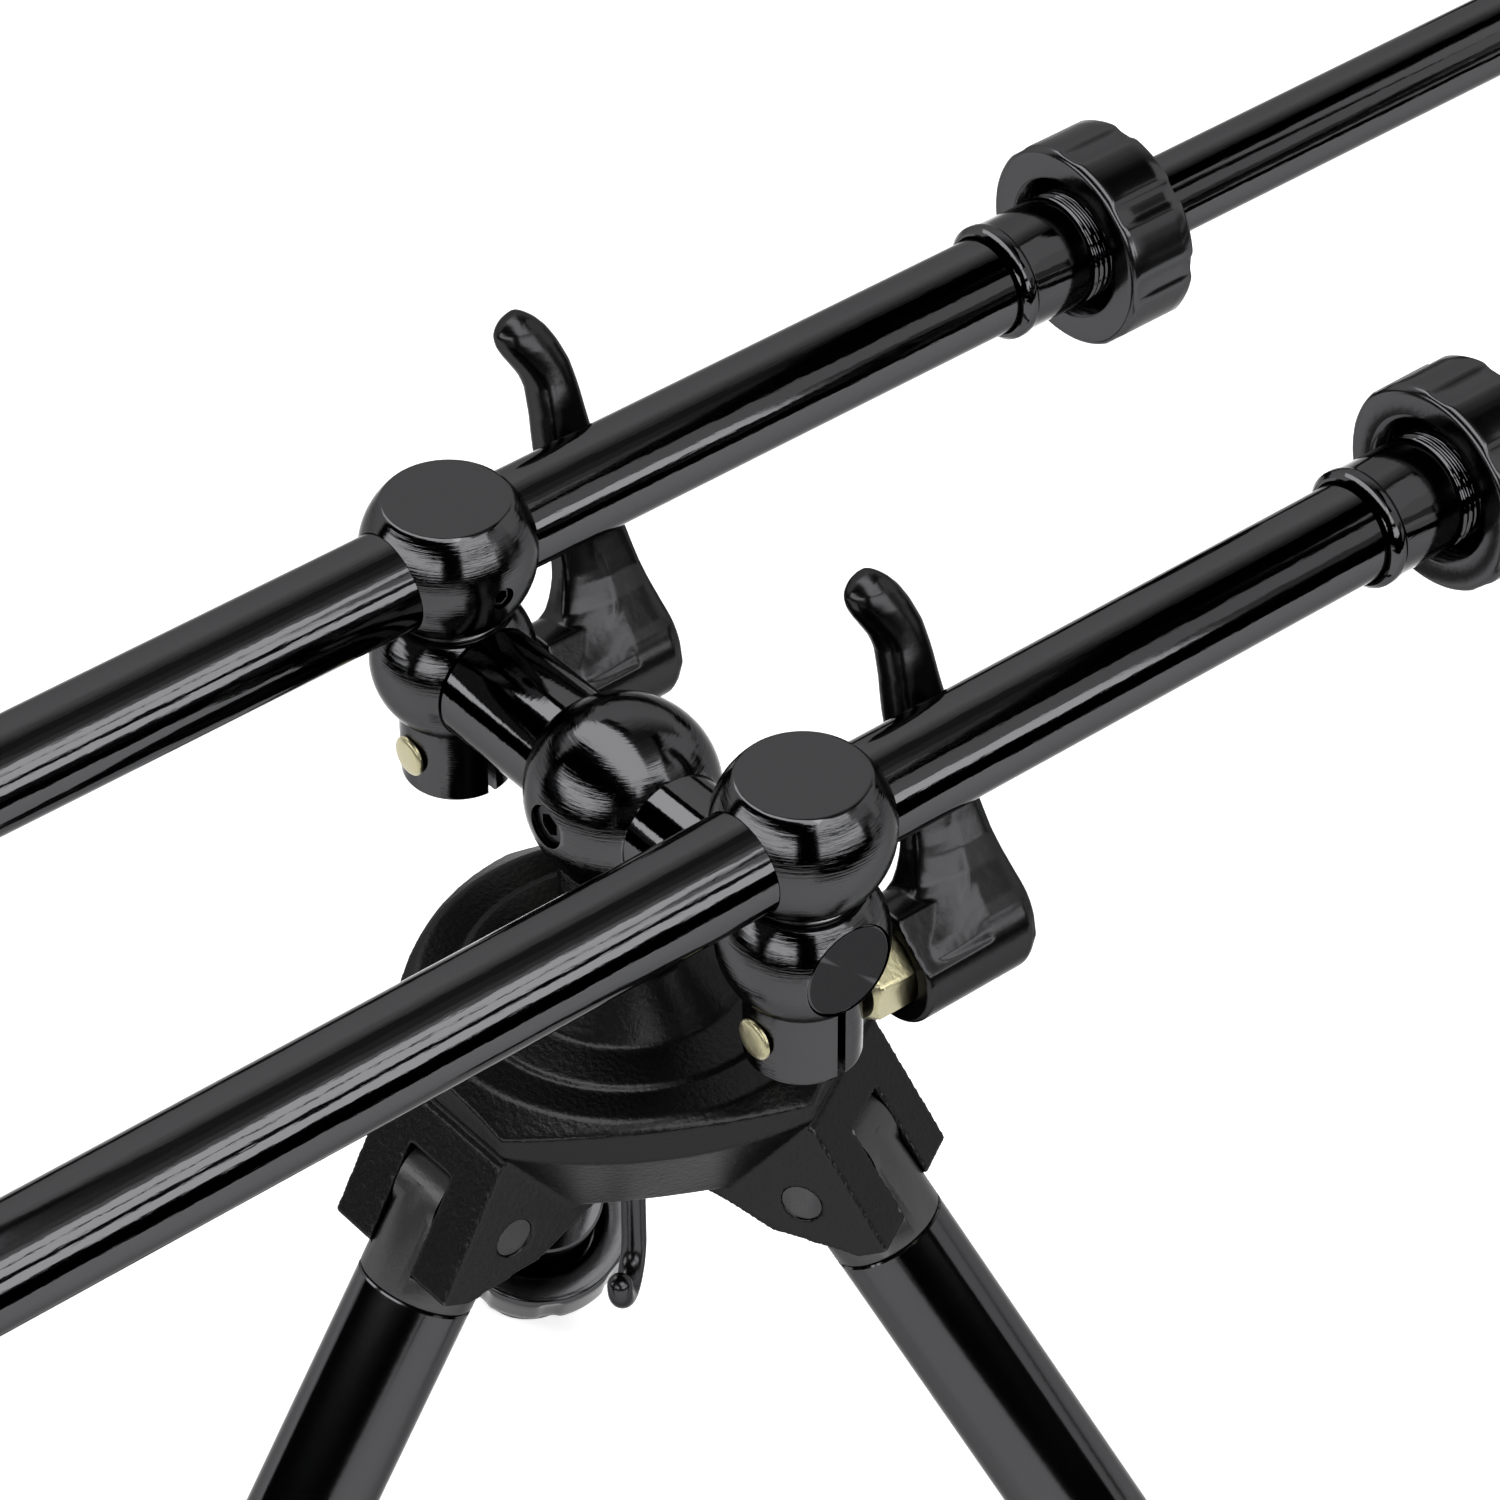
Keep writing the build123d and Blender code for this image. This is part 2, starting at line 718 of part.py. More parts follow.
# Legs
shoulder = ear_tip_out * lean_out + ear_tip_drop * lean_down + slide_gap
leg_bore = leg_tube_radius - leg_tube_wall
lower_radius = leg_bore - slide_gap
leg_nut_end = leg_length - foot_length - leg_nut_gap
leg_tube_end = leg_nut_end - nut_length - nut_start + sleeve_socket
spigot_end = knuckle_seam + spigot_length
leg_sleeve_start = leg_tube_end - sleeve_socket
with BuildPart() as leg_knuckle:
    with BuildSketch(leg_plane.offset(shoulder)):
        Circle(knuckle_radius)
    extrude(amount=knuckle_seam - shoulder)
    with BuildSketch(leg_plane.offset(knuckle_seam)):
        Circle(leg_bore - running_gap)
    extrude(amount=spigot_length)
    with BuildSketch(leg_plane):
        Circle(knuckle_radius)
    extrude(amount=shoulder)
    with BuildSketch(Plane(leg_plane.origin, x_dir=leg_plane.z_dir, z_dir=leg_plane.x_dir)):
        Circle(knuckle_radius)
    extrude(amount=tongue_thickness / 2, both=True)
    for turn in (1, -1):
        cheek = Plane(
            leg_plane.origin + leg_plane.x_dir * (turn * tongue_thickness / 2),
            x_dir=leg_plane.z_dir,
            z_dir=leg_plane.x_dir * turn,
        )
        with BuildSketch(cheek):
            with Locations((shoulder, 0)):
                Rectangle(
                    shoulder + 2 * knuckle_radius,
                    2 * knuckle_radius + 2 * overrun,
                    align=(Align.MAX, Align.CENTER),
                )
        extrude(amount=knuckle_radius, mode=Mode.SUBTRACT)
    with BuildSketch(Plane(leg_plane.origin, x_dir=leg_plane.z_dir, z_dir=leg_plane.x_dir)):
        Circle(leg_pin_radius + running_gap)
    extrude(amount=knuckle_radius, both=True, mode=Mode.SUBTRACT)

with BuildPart() as leg_tube:
    with BuildSketch(side_of(leg_plane)):
        Polygon(
            (leg_bore, knuckle_seam),
            (leg_tube_radius, knuckle_seam),
            (leg_tube_radius, leg_sleeve_start),
            (leg_rim_radius, leg_sleeve_start),
            (leg_rim_radius, leg_sleeve_start + sleeve_rim),
            (leg_thread_radius, leg_sleeve_start + sleeve_rim),
            (leg_thread_radius, leg_sleeve_start + sleeve_length),
            (leg_bore, leg_sleeve_start + sleeve_length),
            align=None,
        )
    revolve(axis=axis_of(leg_plane))

leg_nut = lock_nut(
    leg_plane, leg_nut_radius, leg_thread_radius, leg_bore, leg_sleeve_start + nut_start
)

foot_start = leg_length - foot_length
lower_end = leg_length - foot_depth
with BuildPart() as lower_tube:
    with BuildSketch(leg_plane.offset(spigot_end + slide_gap)):
        Circle(lower_radius)
        Circle(lower_radius - lower_wall, mode=Mode.SUBTRACT)
    extrude(amount=lower_end - spigot_end - slide_gap)

with BuildPart() as rubber_foot:
    with BuildSketch(side_of(leg_plane)):
        Polygon(
            (0, lower_end),
            (lower_radius + running_gap, lower_end),
            (lower_radius + running_gap, foot_start),
            (foot_neck_radius, foot_start),
            (foot_radius, leg_length - foot_edge),
            (foot_radius - foot_edge, leg_length),
            (0, leg_length),
            align=None,
        )
    revolve(axis=axis_of(leg_plane))

leg_pieces = {
    "leg_knuckle": leg_knuckle.part,
    "leg_tube": leg_tube.part,
    "leg_lock_nut": leg_nut,
    "lower_tube": lower_tube.part,
    "rubber_foot": rubber_foot.part,
}
for arm, angle in arm_angles.items():
    for name, piece in leg_pieces.items():
        save(piece.rotate(Axis.Z, angle), f"{name}_{arm}")
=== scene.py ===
# %% [markdown]
# # A rod pod
# A rod pod holds fishing rods over the water's edge. This one is a tripod with a cast head. A
# crossbar goes through a ball on the head, and on its ends sit two split clamp balls, each with
# a telescopic bar above it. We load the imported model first, because it fixes every size and
# place. Then we dress it with finer meshes and with procedural finishes.

# %% Load the frame
import json
from math import asin, cos, degrees, exp, pi, radians, sin, sqrt, tau

import bmesh
import bpy
from mathutils import Matrix, Vector


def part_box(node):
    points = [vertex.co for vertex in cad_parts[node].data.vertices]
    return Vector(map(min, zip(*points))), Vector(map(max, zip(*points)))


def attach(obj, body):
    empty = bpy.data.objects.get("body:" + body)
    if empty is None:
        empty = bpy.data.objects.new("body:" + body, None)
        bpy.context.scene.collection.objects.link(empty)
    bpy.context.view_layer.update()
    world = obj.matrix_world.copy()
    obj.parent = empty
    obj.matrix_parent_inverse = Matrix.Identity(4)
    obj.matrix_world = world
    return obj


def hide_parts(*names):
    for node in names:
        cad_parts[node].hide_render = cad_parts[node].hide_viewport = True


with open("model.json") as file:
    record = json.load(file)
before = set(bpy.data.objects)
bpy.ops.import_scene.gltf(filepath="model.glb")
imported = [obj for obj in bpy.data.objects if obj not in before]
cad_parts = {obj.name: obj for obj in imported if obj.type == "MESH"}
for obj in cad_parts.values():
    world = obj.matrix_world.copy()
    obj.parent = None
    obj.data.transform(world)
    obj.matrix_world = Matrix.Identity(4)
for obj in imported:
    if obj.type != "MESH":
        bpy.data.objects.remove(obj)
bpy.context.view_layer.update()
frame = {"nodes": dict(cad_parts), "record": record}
nodes = frame["nodes"]
joints = {joint["name"]: joint for joint in frame["record"]["behaviour"]["joints"]}
MM = 0.001
SIDES = ("left", "right")
LEGS = ("rear", "right", "left")

# %% [markdown]
# ## Places from the frame
# The joints say where the axes are: the crossbar's, each lever's and each leg pin's. We read them
# once and name them, so that no piece needs a place of its own.

# %% Axes and heights
crossbar_z = joints["bar_tilt"]["pos_m"][2] / MM
bar_nuts = {side: Vector(joints[f"bar_nut_{side}_turn"]["pos_m"]) / MM for side in SIDES}
bar_z = bar_nuts["left"].z
bolt_z = joints["lever_left_turn"]["pos_m"][2] / MM
bolts = {side: Vector((bar_nuts[side].x, 0, bolt_z)) for side in SIDES}
pins = {leg: Vector(joints[f"leg_{leg}_fold"]["pos_m"]) / MM for leg in LEGS}
leg_ways = {leg: Vector(joints[f"lower_leg_{leg}_slide"]["axis"]) for leg in LEGS}
print("crossbar", round(crossbar_z, 1), "bars", round(bar_z, 1), "pins", round(pins["rear"].z, 1))

# %% [markdown]
# ## The camera
# The photograph was taken through a long lens from above, so its lines hardly converge. The
# camera's place was found from the straight edges of the two bars. The head fills the picture,
# and the legs and the bars run out of it.

# %% Camera
YAW, ELEVATION, ROLL = radians(50.76), radians(39.97), radians(-0.36)
CAMERA_FROM_BARS = Vector((630.35, -486.19, 652.80))
back = Vector((sin(YAW) * cos(ELEVATION), -cos(YAW) * cos(ELEVATION), sin(ELEVATION)))
right = Vector((cos(YAW), sin(YAW), 0))
up = back.cross(right)
turned_right = cos(ROLL) * right + sin(ROLL) * up
turned_up = cos(ROLL) * up - sin(ROLL) * right
camera_data = bpy.data.cameras.new("camera")
camera_data.lens = 143.64
camera_data.sensor_width = 36
camera = bpy.data.objects.new("camera", camera_data)
turn = Matrix((turned_right, turned_up, back)).transposed()
place = (CAMERA_FROM_BARS + Vector((0, 0, bar_z))) * MM
camera.matrix_world = Matrix.Translation(place) @ turn.to_4x4()
bpy.context.scene.collection.objects.link(camera)
bpy.context.scene.camera = camera

# %% [markdown]
# ## Floor and background
# The photograph has a pure white ground. The floor and the world show as white to the camera and
# in every reflection, while the light that they give the object stays plain, and the floor keeps
# a soft shadow.

# %% Floor and background
def node_tree(holder):
    holder.use_nodes = True
    holder.node_tree.nodes.clear()
    return holder.node_tree


def add(tree, kind, **values):
    """Adds a shader node. Values whose name is an input go there, the rest are settings."""
    node = tree.nodes.new(kind)
    for name, value in values.items():
        label = name.replace("_", " ")
        if label in node.inputs:
            node.inputs[label].default_value = value
        else:
            setattr(node, name, value)
    return node


def seen_directly(tree):
    """1 for camera, glossy and transmission rays, so that gloss shows the same white ground."""
    rays = add(tree, "ShaderNodeLightPath")
    first = add(tree, "ShaderNodeMath", operation="MAXIMUM")
    second = add(tree, "ShaderNodeMath", operation="MAXIMUM")
    tree.links.new(rays.outputs["Is Camera Ray"], first.inputs[0])
    tree.links.new(rays.outputs["Is Glossy Ray"], first.inputs[1])
    tree.links.new(first.outputs[0], second.inputs[0])
    tree.links.new(rays.outputs["Is Transmission Ray"], second.inputs[1])
    return second.outputs[0]


FLOOR_GREY, WHITE = (0.80, 0.80, 0.80, 1), (1, 1, 1, 1)
FLOOR_GLOW, ROOM_LIGHT, GROUND_LIGHT = 0.62, 0.35, 1.2
bpy.ops.mesh.primitive_plane_add(size=8)
floor = bpy.context.object
floor.name = "floor"
floor_material = bpy.data.materials.new("floor")
tree = node_tree(floor_material)
shaded = add(tree, "ShaderNodeBsdfDiffuse", Color=FLOOR_GREY)
glow = add(tree, "ShaderNodeEmission", Color=WHITE, Strength=FLOOR_GLOW)
both = add(tree, "ShaderNodeAddShader")
mix = add(tree, "ShaderNodeMixShader")
output = add(tree, "ShaderNodeOutputMaterial")
tree.links.new(shaded.outputs[0], both.inputs[0])
tree.links.new(glow.outputs[0], both.inputs[1])
tree.links.new(seen_directly(tree), mix.inputs[0])
tree.links.new(shaded.outputs[0], mix.inputs[1])
tree.links.new(both.outputs[0], mix.inputs[2])
tree.links.new(mix.outputs[0], output.inputs[0])
floor.data.materials.append(floor_material)

world = bpy.data.worlds.new("studio")
bpy.context.scene.world = world
tree = node_tree(world)
room = add(tree, "ShaderNodeBackground", Color=WHITE, Strength=ROOM_LIGHT)
ground = add(tree, "ShaderNodeBackground", Color=WHITE, Strength=GROUND_LIGHT)
mix = add(tree, "ShaderNodeMixShader")
output = add(tree, "ShaderNodeOutputWorld")
tree.links.new(seen_directly(tree), mix.inputs[0])
tree.links.new(room.outputs[0], mix.inputs[1])
tree.links.new(ground.outputs[0], mix.inputs[2])
tree.links.new(mix.outputs[0], output.inputs[0])
bpy.context.scene.view_settings.view_transform = "Standard"


# %% [markdown]
# ## Lamps, soft boxes and black tent
# The lamps give plain light. Black gloss metal hardly shows them: it shows what it reflects, and
# that is why a studio hangs black cloth round such an object. The cloth makes the black bands
# along the tubes, and each soft box in front of it makes one clean stripe. Beside the boxes hang
# dim sheets: the hem and the haze fade a stripe out toward its side, the walls give the lower
# stripes, and a cloth on the floor makes the last dark band. Only reflections see our sheets, so
# they take no light from the floor. Their places were worked out from the stripes on the bars.


# %% Plain lamps
def soft_lamp(name, place, size, watts):
    """A rectangular lamp that faces the head."""
    lamp = bpy.data.lights.new(name, "AREA")
    lamp.shape = "RECTANGLE"
    lamp.size, lamp.size_y = size
    lamp.energy = watts
    holder = bpy.data.objects.new(name, lamp)
    target = Vector((0, 0, crossbar_z * MM))
    holder.location = Vector(place) + target
    holder.rotation_mode = "QUATERNION"
    holder.rotation_quaternion = (target - holder.location).to_track_quat("-Z", "Y")
    holder.visible_glossy = False
    bpy.context.scene.collection.objects.link(holder)


soft_lamp("lamp_top", (-0.2, 0.1, 1.3), (1.2, 0.9), 18)
soft_lamp("lamp_right", (1.3, 0.5, 0.4), (0.5, 1.2), 14)
soft_lamp("lamp_left", (-1.2, -0.9, 0.5), (0.6, 1.2), 12)


# %% Black tent and soft boxes, seen only in reflections
def only_reflected(name, corners_by_row, strength):
    """A sheet of the stage that shows in gloss alone. Corners are in metres round the head."""
    bm = bmesh.new()
    middle = Vector((0, 0, crossbar_z * MM))
    rows = [[bm.verts.new(Vector(corner) + middle) for corner in row] for row in corners_by_row]
    for near, far in zip(rows, rows[1:]):
        for i in range(len(near) - 1):
            bm.faces.new((near[i], near[i + 1], far[i + 1], far[i]))
    mesh = bpy.data.meshes.new(name)
    bm.to_mesh(mesh)
    bm.free()
    sheet = bpy.data.objects.new(name, mesh)
    bpy.context.scene.collection.objects.link(sheet)
    material = bpy.data.materials.new(name)
    tree = node_tree(material)
    light = add(tree, "ShaderNodeEmission", Color=WHITE, Strength=strength)
    output = add(tree, "ShaderNodeOutputMaterial")
    tree.links.new(light.outputs[0], output.inputs[0])
    mesh.materials.append(material)
    sheet.visible_camera = False
    sheet.visible_diffuse = False
    sheet.visible_shadow = False
    sheet.visible_transmission = False


def ease(value, low, high):
    """0 below low, 1 above high, and a smooth step between."""
    t = min(max((value - low) / (high - low), 0), 1)
    return t * t * (3 - 2 * t)


CAMERA_SIDE, FRONT_EDGE, BACK_EDGE, CROWN = -50.0, -14.0, 45.0, 89.9
TENT_ROWS, TENT_NEAR, TENT_FAR = 12, 1.1, 4.0
tent = []
for row in range(TENT_ROWS + 1):
    tent.append([])
    for azimuth in range(0, 361, 5):
        away = abs((azimuth - CAMERA_SIDE + 180) % 360 - 180)
        lower = FRONT_EDGE + (BACK_EDGE - FRONT_EDGE) * ease(away, 92, 104)
        elevation = lower + (CROWN - lower) * row / TENT_ROWS
        reach = TENT_NEAR + (TENT_FAR - TENT_NEAR) * ease(elevation, 0, 30)
        a, e = radians(azimuth), radians(elevation)
        tent[-1].append((reach * cos(a) * cos(e), reach * sin(a) * cos(e), reach * sin(e)))
only_reflected("black_tent", tent, 0.0)


def level(x_range, y_range, z):
    """The corners of a level sheet."""
    return [[(x, y, z) for x in x_range] for y in y_range]


def standing_sheet(x, y_range, z_range):
    """The corners of a standing sheet that faces along X."""
    return [[(x, y, z) for y in y_range] for z in z_range]


BOX_GLOW, CEILING, FAR_WALL = 4.6, 0.9, 1.05
HAZE, HEM, HEM_HEIGHT = (0.16, 0.60), (0.9, 6.0), 2.5
left_edge = [(-1.45, -0.32, CEILING), (-1.45, 0.14, CEILING)]
right_edge = [(0.95, -0.42, CEILING), (0.95, 0.16, CEILING)]
SHEETS = (
    ("box_above", list(zip(left_edge, right_edge)), BOX_GLOW),
    ("box_corner", level((0.62, 0.95), HAZE, CEILING), BOX_GLOW),
    ("box_near", [[(x, -1.0, z) for x in (-0.95, 0.95)] for z in (0.14, 0.55)], BOX_GLOW),
    ("box_far_high", standing_sheet(1.0, (-0.35, 0.60), (0.53, 0.90)), BOX_GLOW),
    ("box_far_low", standing_sheet(1.0, (-0.35, 0.70), (0.08, 0.37)), BOX_GLOW),
    ("wall_high", standing_sheet(FAR_WALL, (0.60, 1.8), (0.36, 1.02)), 1.0),
    ("wall_low", standing_sheet(FAR_WALL, (0.60, 1.8), (0.10, 0.36)), 0.3),
    ("floor_cloth", level((0.55, FAR_WALL), (-0.3, 1.8), -0.23), 0.0),
    ("haze_1", level((-0.15, 0.10), HAZE, CEILING), 0.12),
    ("haze_2", level((0.10, 0.30), HAZE, CEILING), 0.20),
    ("haze_3", level((0.30, 0.48), HAZE, CEILING), 0.40),
    ("haze_4", level((0.48, 0.62), HAZE, CEILING), 1.0),
    ("hem_1", level((-4.5, -1.62), HEM, HEM_HEIGHT), 1.15),
    ("hem_2", level((-1.62, -1.30), HEM, HEM_HEIGHT), 1.0),
    ("hem_3", level((-1.30, -0.98), HEM, HEM_HEIGHT), 0.78),
    ("hem_4", level((-0.98, -0.66), HEM, HEM_HEIGHT), 0.56),
    ("hem_5", level((-0.66, -0.34), HEM, HEM_HEIGHT), 0.33),
    ("hem_6", level((-0.34, -0.06), HEM, HEM_HEIGHT), 0.14),
)
for name, corners, strength in SHEETS:
    only_reflected(name, corners, strength)
print("the tent and", len(SHEETS), "sheets stand round the head")

# %% [markdown]
# ## Finishes
# Nearly every piece is black, so the finishes differ in how they shine. The bars and balls are
# turned and anodised: a clear gloss with fine rings from the lathe. The head and levers are
# castings with a grainier skin. All share one effect, built once as a node group: a fine grain,
# patches of uneven roughness, and sharp edges made paler, partly as rubbed metal and partly as a
# painted highlight.


# %% The shared skin
def new_group(name, inputs, outputs):
    """An empty node group with named sockets."""
    group = bpy.data.node_groups.new(name, "ShaderNodeTree")
    for label, kind, value in inputs:
        socket = group.interface.new_socket(label, in_out="INPUT", socket_type=kind)
        socket.default_value = value
    for label, kind in outputs:
        group.interface.new_socket(label, in_out="OUTPUT", socket_type=kind)
    return group, add(group, "NodeGroupInput"), add(group, "NodeGroupOutput")


COLOUR, NUMBER, POINT = "NodeSocketColor", "NodeSocketFloat", "NodeSocketVector"
# Sharp edges, found by pointiness, turn paler between these two values: partly rubbed metal and
# partly a painted highlight.
PATCHINESS, WEAR_AND_HIGHLIGHT_START, WEAR_AND_HIGHLIGHT_FULL = 0.24, 0.54, 0.64
WEAR_AND_HIGHLIGHT_COLOUR = (0.20, 0.20, 0.205, 1)
skin, given, result = new_group(
    "metal_skin",
    [
        ("Colour", COLOUR, (0.02, 0.02, 0.02, 1)),
        ("Roughness", NUMBER, 0.2),
        ("Grain Scale", NUMBER, 900.0),
        ("Grain Stretch", POINT, (1, 1, 1)),
        ("Grain Depth", NUMBER, 0.1),
        ("Wear And Highlight", NUMBER, 0.2),
    ],
    [("Colour", COLOUR), ("Roughness", NUMBER), ("Normal", POINT)],
)
where = add(skin, "ShaderNodeTexCoord")
stretch = add(skin, "ShaderNodeVectorMath", operation="MULTIPLY")
grain = add(skin, "ShaderNodeTexNoise", Detail=3.0, Roughness=0.6)
bump = add(skin, "ShaderNodeBump", Distance=0.0004)
patches = add(skin, "ShaderNodeTexNoise", Scale=35.0, Detail=4.0)
spread = add(skin, "ShaderNodeMath", operation="MULTIPLY_ADD")
spread.inputs[1].default_value = PATCHINESS
spread.inputs[2].default_value = -PATCHINESS / 2
rough = add(skin, "ShaderNodeMath", operation="MULTIPLY_ADD", use_clamp=True)
scaled_rough = add(skin, "ShaderNodeMath", operation="MULTIPLY")
edge = add(skin, "ShaderNodeNewGeometry")
wear_and_highlight_mask = add(skin, "ShaderNodeMapRange")
wear_and_highlight_mask.inputs["From Min"].default_value = WEAR_AND_HIGHLIGHT_START
wear_and_highlight_mask.inputs["From Max"].default_value = WEAR_AND_HIGHLIGHT_FULL
wear_and_highlight_factor = add(skin, "ShaderNodeMath", operation="MULTIPLY", use_clamp=True)
paler = add(skin, "ShaderNodeMix", data_type="RGBA")
paler.inputs["B"].default_value = WEAR_AND_HIGHLIGHT_COLOUR
links = skin.links
links.new(where.outputs["Object"], stretch.inputs[0])
links.new(given.outputs["Grain Stretch"], stretch.inputs[1])
links.new(stretch.outputs[0], grain.inputs["Vector"])
links.new(given.outputs["Grain Scale"], grain.inputs["Scale"])
links.new(grain.outputs["Fac"], bump.inputs["Height"])
links.new(given.outputs["Grain Depth"], bump.inputs["Strength"])
links.new(where.outputs["Object"], patches.inputs["Vector"])
links.new(patches.outputs["Fac"], spread.inputs[0])
links.new(given.outputs["Roughness"], scaled_rough.inputs[0])
links.new(spread.outputs[0], scaled_rough.inputs[1])
links.new(scaled_rough.outputs[0], rough.inputs[0])
rough.inputs[1].default_value = 1.0
links.new(given.outputs["Roughness"], rough.inputs[2])
# Painted highlight mixed with rubbed metal: sharp edges are made paler.
links.new(edge.outputs["Pointiness"], wear_and_highlight_mask.inputs["Value"])
links.new(wear_and_highlight_mask.outputs[0], wear_and_highlight_factor.inputs[0])
links.new(given.outputs["Wear And Highlight"], wear_and_highlight_factor.inputs[1])
links.new(wear_and_highlight_factor.outputs[0], paler.inputs["Factor"])
links.new(given.outputs["Colour"], paler.inputs["A"])
links.new(paler.outputs["Result"], result.inputs["Colour"])
links.new(rough.outputs[0], result.inputs["Roughness"])
links.new(bump.outputs[0], result.inputs["Normal"])


# %% The finishes themselves
def finish(
    name, colour, roughness, depth, metallic=1.0, scale=900.0, stretch=(1, 1, 1), wear_and_highlight=0.2, rim=1.0
):
    """A material made of the shared skin and a Principled shader. Rim darkens grazing views."""
    material = bpy.data.materials.new(name)
    tree = node_tree(material)
    surface = add(tree, "ShaderNodeGroup", node_tree=skin)
    surface.inputs["Colour"].default_value = (*colour, 1)
    surface.inputs["Roughness"].default_value = roughness
    surface.inputs["Grain Scale"].default_value = scale
    surface.inputs["Grain Stretch"].default_value = stretch
    surface.inputs["Grain Depth"].default_value = depth
    # Paler sharp edges: partly rubbed metal, partly a painted highlight.
    surface.inputs["Wear And Highlight"].default_value = wear_and_highlight
    shader = add(tree, "ShaderNodeBsdfPrincipled", Metallic=metallic)
    shader.inputs["Specular Tint"].default_value = (rim, rim, rim, 1)
    output = add(tree, "ShaderNodeOutputMaterial")
    tree.links.new(surface.outputs["Colour"], shader.inputs["Base Color"])
    tree.links.new(surface.outputs["Roughness"], shader.inputs["Roughness"])
    tree.links.new(surface.outputs["Normal"], shader.inputs["Normal"])
    tree.links.new(shader.outputs[0], output.inputs[0])
    return material


GLOSS_BLACK = (0.053, 0.053, 0.055)
CAST_BLACK = (0.021, 0.021, 0.0215)
ALONG_TUBE, ROUND_BALL, ALONG_NUT = (1, 0.1, 1), (0.04, 0.04, 1), (1, 0.05, 1)
DARK_RIM = 0.5
anodised_tube = finish(
    "anodised_tube", GLOSS_BLACK, 0.07, scale=900, stretch=ALONG_TUBE, depth=0.06, rim=DARK_RIM
)
anodised_ball = finish(
    "anodised_ball", GLOSS_BLACK, 0.10, scale=2400, stretch=ROUND_BALL, depth=0.16, rim=DARK_RIM
)
anodised_leg = finish("anodised_leg", GLOSS_BLACK, 0.12, scale=500, depth=0.03, rim=DARK_RIM)
satin_alloy = finish(
    "satin_alloy", (0.060, 0.060, 0.061), 0.34, scale=1500, depth=0.10, rim=DARK_RIM
)
# The casting gets strongly paler edges, partly rubbed metal and partly a painted highlight.
cast_alloy = finish("cast_alloy", CAST_BLACK, 0.30, depth=0.30, wear_and_highlight=0.8, rim=DARK_RIM)
cast_lever = finish(
    "cast_lever", (0.027, 0.027, 0.028), 0.22, scale=400, depth=0.10, wear_and_highlight=0, rim=DARK_RIM
)
lobed_plastic = finish(
    "lobed_plastic", GLOSS_BLACK, 0.17, scale=600, stretch=ALONG_NUT, depth=0.06, rim=DARK_RIM
)
dark_steel = finish("dark_steel", (0.045, 0.045, 0.047), 0.24, scale=800, depth=0.08, rim=0.4)
pin_black = finish("pin_black", (0.026, 0.026, 0.027), 0.36, depth=0.15, rim=DARK_RIM)
# Painted shade: a darker black for the crossbar's end faces.
end_painted_shade = finish("end_painted_shade", (0.020, 0.020, 0.021), 0.20, depth=0.08, rim=DARK_RIM)
neck_steel = finish("neck_steel", (0.16, 0.16, 0.16), 0.25, scale=800, depth=0.05, wear_and_highlight=0)
brass = finish("brass", (0.33, 0.305, 0.19), 0.30, scale=700, depth=0.20, wear_and_highlight=0)
nylon = finish("nylon", (0.02, 0.02, 0.02), 0.5, metallic=0.0, scale=300, depth=0.1)
rubber = finish("rubber", (0.012, 0.012, 0.012), 0.7, metallic=0.0, scale=500, depth=0.3)
print(len(bpy.data.materials), "materials so far")

# %% [markdown]
# ## Helpers for making pieces
# Most of these pieces were made on a lathe, so our main helper does what a lathe does: it turns
# a profile about an axis. Holes and slots are then cut with a Boolean modifier, and the sharp
# rims get a small Bevel, since no machined edge is perfectly sharp.


# %% Turning, cutting and softening
def axis_at(origin, way, toward=(0, 0, 1)):
    """A place whose Z runs along way and whose X leans toward the given direction."""
    z = Vector(way).normalized()
    x = Vector(toward) - Vector(toward).dot(z) * z
    if x.length < 1e-6:
        x = Vector((1, 0, 0)) - z.x * z
    x.normalize()
    turn = Matrix((x, z.cross(x), z)).transposed().to_4x4()
    return Matrix.Translation(Vector(origin)) @ turn


def new_piece(name, mesh, material=None):
    piece = bpy.data.objects.new(name, mesh)
    bpy.context.scene.collection.objects.link(piece)
    if material:
        mesh.materials.append(material)
    return piece


SHARP_EDGE = 35


def smooth(mesh, angle=SHARP_EDGE):
    mesh.polygons.foreach_set("use_smooth", [True] * len(mesh.polygons))
    mesh.set_sharp_from_angle(angle=radians(angle))


def grid_mesh(name, rows, hollow=False):
    """A mesh from rings of points in millimetres, each joined to the next. One point is a pole."""
    bm = bmesh.new()
    rings = [[bm.verts.new(Vector(point) * MM) for point in row] for row in rows]
    following = rings[1:] + rings[:1] if hollow else rings[1:]
    for near, far in zip(rings, following):
        count = max(len(near), len(far))
        for i in range(count):
            j = (i + 1) % count
            if len(near) == 1:
                bm.faces.new((near[0], far[j], far[i]))
            elif len(far) == 1:
                bm.faces.new((near[i], near[j], far[0]))
            else:
                bm.faces.new((near[i], near[j], far[j], far[i]))
    if not hollow:
        for ring in (rings[0], rings[-1]):
            if len(ring) > 1:
                bm.faces.new(ring)
    bmesh.ops.recalc_face_normals(bm, faces=bm.faces)
    mesh = bpy.data.meshes.new(name)
    bm.to_mesh(mesh)
    bm.free()
    return mesh


def turned(name, place, profile, material=None, steps=96, hollow=False, shape=None):
    """Turns a profile of (distance along the axis, radius) about the Z of place."""
    rows = []
    for along, radius in profile:
        ring = []
        for i in range(steps if radius else 1):
            angle = tau * i / steps
            reach = shape(along, angle, radius) if shape else radius
            ring.append(place @ Vector((reach * cos(angle), reach * sin(angle), along)))
        rows.append(ring)
    piece = new_piece(name, grid_mesh(name, rows, hollow), material)
    smooth(piece.data)
    return piece


